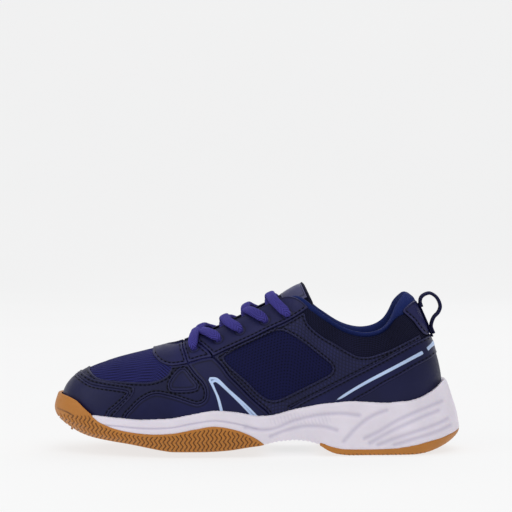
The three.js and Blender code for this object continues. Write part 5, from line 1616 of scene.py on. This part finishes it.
# ---- laces, tab, sockliner ----
@dataclass
class Strap:
    """A flat band with rounded edges carried along a smooth route."""

    width: float
    thickness: float
    around: int = 20

    def build(self, name: str, route: Array, sides: Array, wide: Array | None = None,
              thick: Array | None = None) -> bpy.types.Object:
        """Sweep the band.

        The section is a squarish oval; its wide way follows the guide, made square to the route.

        Args:
            name: the piece's name.
            route: points of its middle line.
            sides: guide directions of its width.
            wide: width at each point.
            thick: thickness at each point.

        Returns:
            The piece, with cloth coordinates along and across it.
        """
        count = len(route)
        wide = np.full(count, self.width) if wide is None else wide
        thick = np.full(count, self.thickness) if thick is None else thick
        way = unit(np.gradient(route, axis=0))
        side = unit(sides - way * np.sum(sides * way, -1, keepdims=True))
        out = np.cross(way, side)
        angle = np.arange(self.around) / self.around * 2 * np.pi
        c, s = np.cos(angle), np.sin(angle)
        c, s = np.sign(c) * np.abs(c) ** 0.75, np.sign(s) * np.abs(s) ** 0.75
        points = (route[:, None] + side[:, None] * (wide[:, None] / 2 * c)[..., None]
                  + out[:, None] * (thick[:, None] / 2 * s)[..., None])
        gone = travelled(route)
        cloth = np.stack([np.broadcast_to(gone[:, None], (count, self.around)),
                          wide[:, None] / 2 * c, np.zeros((count, self.around))], -1)
        flat = points.reshape(-1, 3)
        ends = route[[0, -1]]
        faces = [net_faces(count, self.around, round_b=True), *end_fans(len(flat), self.around)]
        cloth = np.vstack([cloth.reshape(-1, 3), [[0, 0, 0], [gone[-1], 0, 0]]])
        piece = make_piece(name, np.vstack([flat, ends]), faces, {"cloth": cloth})
        work = bmesh.new()
        work.from_mesh(piece.data)
        bmesh.ops.recalc_face_normals(work, faces=work.faces)
        work.to_mesh(piece.data)
        work.free()
        return piece


def centripetal(knots: Array, count: int) -> Array:
    """Smooth route through knots, each span's time the square root of its chord.

    Args:
        knots: points, (n, k), the first three columns being places.
        count: points wanted.

    Returns:
        The route: slopes at the knots from uneven differences, then a cubic in each span.
    """
    chord = np.maximum(np.linalg.norm(np.diff(knots[:, :3], axis=0), axis=1), 1e-3) ** 0.5
    time = np.concatenate([[0], np.cumsum(chord)])
    rate = np.diff(knots, axis=0) / chord[:, None]
    slopes = np.vstack([rate[:1], (rate[:-1] * chord[1:, None] + rate[1:] * chord[:-1, None])
                        / (chord[1:] + chord[:-1])[:, None], rate[-1:]])
    marks = np.linspace(0, time[-1], count)
    k = np.clip(np.searchsorted(time, marks, side="right") - 1, 0, len(chord) - 1)
    f, h = ((marks - time[k]) / chord[k])[:, None], chord[k][:, None]
    return hermite(f, knots[k], h * slopes[k], knots[k + 1], h * slopes[k + 1])


@dataclass
class Lacing:
    """Flat woven lace through ten eyelets, its two free ends tucked inside with their aglets."""

    last: Last
    over: float = 4.6
    under: float = 5.2
    width: float = 7.4
    thickness: float = 4.0
    aglet: float = 22

    def at(self, lateral: bool, station: float, q: float, depth: float) -> Array:
        """A point off the wall, with the throat's direction there."""
        t = np.array([station if lateral else RING - station])
        place = self.last.offset(t, q, depth)[0]
        ahead = self.last.point(t + 0.05, q) - self.last.point(t - 0.05, q)
        side = unit(ahead)[0] * (1 if lateral else -1)
        return np.concatenate([place, side])

    def crossing(self, lateral: bool, i: int, high: bool) -> list[Array]:
        """From inside an eyelet up past the throat's edge, over the tongue, and down into the next
        eyelet of the other side."""
        t0, t1 = EYELETS[i], EYELETS[i + 1]
        tm = t0 + (t1 - t0) * 0.15
        middle = (self.at(lateral, tm, 1, 0) + self.at(not lateral, tm, 1, 0)) / 2
        middle[2] += (3.4 if high else 0) + 3.2
        return [self.at(lateral, t0 + (t1 - t0) * 0.1, 0.95, -self.under - 0.5), middle,
                self.at(not lateral, t0 + (t1 - t0) * 0.5, 0.95, self.over),
                *[self.at(not lateral, t1, EYELET_HEIGHT, d) for d in (self.over, 0, -self.under)]]

    def strand(self, lateral: bool, high: bool) -> list[Array]:
        """One half of the lace, from the bar at the toe to the top eyelet."""
        points = []
        for i in range(len(EYELETS) - 1):
            points += self.crossing(lateral, i, high)
            lateral = not lateral
        return points

    def laced(self) -> None:
        """The laced length, narrower and thicker where it is drawn through an eyelet."""
        first, second = self.strand(True, True), self.strand(False, False)
        end = lambda lateral: [*[self.at(lateral, EYELETS[0], EYELET_HEIGHT, d)
                                 for d in (-self.under, 0, self.over)],
                               self.at(lateral, EYELETS[0], 0.93, self.over)]
        middle = (self.at(True, EYELETS[0], 1, 0) + self.at(False, EYELETS[0], 1, 0)) / 2
        middle[2] += 6
        knots = np.array([*first[::-1], *end(True), middle, *end(False)[::-1], *second])
        route = centripetal(knots, 900)
        gap = np.min(np.linalg.norm(route[:, None, :3] - eyelet_places(self.last)[None], axis=-1), 1)
        open_share = ramp(gap, 2.6, 6.5)
        wide = 4.2 + (self.width - 4.2) * open_share
        thick = 3.6 + (self.thickness - 3.6) * open_share
        piece = Strap(self.width, self.thickness).build("lace_woven", route[:, :3], route[:, 3:], wide, thick)
        enter(piece, "lace", "shoe", ["lace"])

    def tail(self, lateral: bool) -> None:
        """One free end with its aglet, lying down inside the wall towards the toe."""
        side = "lateral" if lateral else "medial"
        top = EYELETS[-1]
        knots = [self.at(lateral, top, EYELET_HEIGHT, -5.5), self.at(lateral, top, EYELET_HEIGHT, -6.7)]
        knots += [self.at(lateral, t, q, -2.9 - deep) for t, q, deep in TAIL_ROUTE]
        route = centripetal(np.array(knots)[:, :3], 150)
        upright = np.broadcast_to(np.array([0.0, 0.0, 1.0]), route.shape)
        cord = Strap(3.9, 2.1).build(f"lace_end_{side}", route, upright)
        enter(cord, "lace", "shoe", [f"lace_tail_{side}"])
        way = unit(knots[-1][:3] - knots[-2][:3])
        s = np.linspace(0, 1, 40)
        start = knots[-1][:3] + way * 0.3
        tip = start + way * (s * self.aglet)[:, None]
        swell = np.sqrt(np.clip(1 - ((s - 0.5) / 0.5) ** 16, 0, 1)) * (1 - 0.12 * s)
        crimp = 1 - 0.08 * (np.abs(s - 0.12) < 0.02) - 0.08 * (np.abs(s - 0.2) < 0.02)
        size = np.maximum(2.4 * swell * crimp, 0.02)
        aglet = Strap(2.4, 2.4, 16).build(f"aglet_tip_{side}", tip,
                                          np.broadcast_to([0.0, 0, 1], tip.shape), size, size)
        enter(aglet, "aglet", "shoe", [f"aglet_{side}"])

    def build(self) -> None:
        """Make the lace."""
        self.laced()
        self.tail(True)
        self.tail(False)


@dataclass
class PullTab:
    """Webbing sewn down the heel, standing off it in a loop."""

    last: Last
    width: float = 12.0
    thickness: float = 2.5
    seat: float = 2.4

    def on_heel(self, q: float, depth: float) -> tuple[float, float]:
        """Point (x, z) off the back of the heel."""
        place = self.last.offset(0.0, q, depth)
        return float(place[0]), float(place[2])

    def band(self, name: str, knots: Sequence[tuple[float, float]], count: int,
             thickness: float) -> bpy.types.Object:
        """Carry webbing of one thickness along a line in the heel's middle plane."""
        line = centripetal(np.array([(x, MIDDLE_Y, z) for x, z in knots]), count)
        across = np.broadcast_to(np.array([0.0, 1.0, 0.0]), line.shape)
        return Strap(self.width, thickness, 28).build(name, line, across)

    def build(self) -> None:
        """Make the anchor and the loop."""
        face, strip = self.seat + self.thickness / 2, 1.4
        anchor = self.band("pull_tab_strip", [self.on_heel(q, self.seat + strip / 2)
                                              for q in (0.6, 0.7, 0.8, 0.9)], 50, strip)
        enter(anchor, "webbing", "shoe", ["pull_tab_anchor"])
        loop = self.band("pull_tab_loop", [
            self.on_heel(0.86, face + 0.5), self.on_heel(0.91, face + 1.2), (122.6, 113), (128.2, 115.4),
            (133.5, 112.2), (136.2, 105.8), (134.8, 101.3), (131.4, 97.4), self.on_heel(0.68, face + strip),
            self.on_heel(0.62, face + strip - 0.3)], 150, self.thickness)
        enter(loop, "webbing", None, ["pull_tab"])
        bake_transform(loop)


@dataclass
class Sockliner:
    """Removable insole: cloth-topped foam with a crowned heel cup and a rolled edge."""

    last: Last
    inset: float = 4.1
    low: float = 2.6
    thickness: float = 3.5
    cup: float = 4.0

    def build(self) -> None:
        """Closed pad: rings drawn in from its edge, their height raised by the cup at the heel, a
        shallow arch, and rounding at the rim."""
        columns = 360
        t = np.arange(columns) / columns * RING
        base, out = self.last.point(t, 0.0), self.last.normal(t, 0.0)
        out[:, 2] = 0
        edge = base - unit(out) * self.inset
        heel = self.cup * (1 - ramp(np.abs(self.last.signed(t)), 2.5, 7))
        spine = np.stack([base[:, 0] * 0.9, np.full(columns, MIDDLE_Y), base[:, 2]], -1)
        path = [(1.0, 0.0, 0.0), (0.55, 0.0, 0.0), (0.1, 0.0, 0.0), (0.02, 0.0, 0.0), (0.0, 0.25, 0.1),
                (0.0, 0.7, 0.75), (0.006, 0.92, 0.95), (0.02, 1.0, 1.0), (0.045, 0.98, 0.9),
                (0.09, 0.93, 0.5), (0.15, 0.9, 0.22), (0.25, 0.9, 0.06), (0.4, 0.94, 0.0),
                (0.6, 1.0, 0.0), (0.8, 1.0, 0.0), (1.0, 1.0, 0.0)]
        rows = []
        for share, high, lip in path:
            place = edge + (spine - edge) * share
            place = np.concatenate([place[:, :2], (base[:, 2] + self.low + self.thickness * high
                                                   + heel * lip)[:, None]], -1)
            rows.append(place)
        points = np.stack(rows, 1)
        faces = [net_faces(columns, len(rows), round_a=True), *closing_strips(columns, len(rows))]
        flat = points.reshape(-1, 3)
        piece = make_piece("sockliner_pad", flat, faces, {"cloth": flat}, sharp=70)
        enter(piece, "lining", "sockliner", ["sockliner"])


# ---- studio ----
@dataclass
class Studio:
    """Pale floor sweeping up behind, three soft lamps and the camera."""

    floor_level: float = -0.0007

    def camera(self) -> None:
        """Long lens, level with the laces, looking along +Y a little downwards."""
        data = bpy.data.cameras.new("camera")
        data.lens, data.sensor_width = 142.5, 36
        data.clip_start, data.clip_end = 0.05, 30
        view = bpy.data.objects.new("camera", data)
        view.location = (-0.00056, -1.5, 0.1919)
        view.rotation_euler = Euler((np.radians(90 - 1.866), 0, 0))
        bpy.context.scene.collection.objects.link(view)
        bpy.context.scene.camera = view

    def floor(self) -> None:
        """Sheet whose section is level, then a quarter circle, then upright."""
        angle = np.linspace(0, np.pi / 2, 24)
        y = np.concatenate([[-3.0, 0.0], 2.2 + 0.9 * np.sin(angle), [3.1]])
        z = np.concatenate([[0, 0], 0.9 * (1 - np.cos(angle)), [4.0]]) + self.floor_level
        x = np.linspace(-4, 4, 9)
        grid = np.stack([np.broadcast_to(x[:, None], (9, len(y))), np.broadcast_to(y, (9, len(y))),
                         np.broadcast_to(z, (9, len(z)))], -1).reshape(-1, 3) / MM
        sweep = make_piece("studio_sweep", grid, [net_faces(9, len(y))[:, ::-1]], weld=False)
        g = Graph("studio_paper", Specular_IOR_Level=0.0, Emission_Strength=0.75)
        g.shader.inputs["Emission Color"].default_value = (1.0, 1.0, 1.0, 1.0)
        tone = g.mix(g.noise(3), (0.18, 0.18, 0.18, 1), (0.2, 0.2, 0.2, 1))
        sweep.data.materials.append(g.finish(tone, 0.9, g.noise(400), 0.02, 0.1))
        sweep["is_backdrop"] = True

    def lamp(self, name: str, place: tuple[float, float, float], size: float, power: float) -> None:
        """One square soft lamp that looks at the shoe."""
        data = bpy.data.lights.new(name, "AREA")
        data.size, data.energy, data.shape = size, power, "SQUARE"
        lamp = bpy.data.objects.new(name, data)
        lamp.location = place
        way = np.array([0, 0, 0.05]) - np.array(place)
        level = float(np.hypot(way[0], way[1]))
        lamp.rotation_euler = Euler((float(np.arctan2(level, -way[2])), 0,
                                     float(np.arctan2(way[1], way[0]) - np.pi / 2)))
        bpy.context.scene.collection.objects.link(lamp)

    def build(self) -> None:
        """Set up the studio."""
        self.floor()
        self.camera()
        self.lamp("key_lamp", (0.25, -0.9, 1.7), 1.5, 13)
        self.lamp("left_lamp", (-1.5, -0.5, 0.9), 1.2, 5.5)
        self.lamp("back_lamp", (0.5, 1.3, 1.5), 1.4, 8)
        world = bpy.data.worlds.new("studio_air")
        world.use_nodes = True
        air = world.node_tree.nodes["Background"]
        air.inputs[0].default_value, air.inputs[1].default_value = (0.97, 0.98, 1.0, 1.0), 0.5
        bpy.context.scene.world = world
        bpy.context.scene.view_settings.view_transform = "Standard"


def main() -> None:
    """Build the shoe and its studio."""
    logging.basicConfig(level=logging.INFO, format="%(name)s: %(message)s")
    last = Last()
    Studio().build()
    Lacing(last).build()
    Upper(last).build()
    Stitching(last).build()
    SoleUnit(last).build()
    Tongue(TonguePlane()).build()
    PullTab(last).build()
    Sockliner(last).build()
    plain = lambda box: [[float(v) for v in corner] for corner in box]
    {"cad": plain(CAD_BOX), "visual": plain(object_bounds())}


if __name__ == "__main__":
    main()
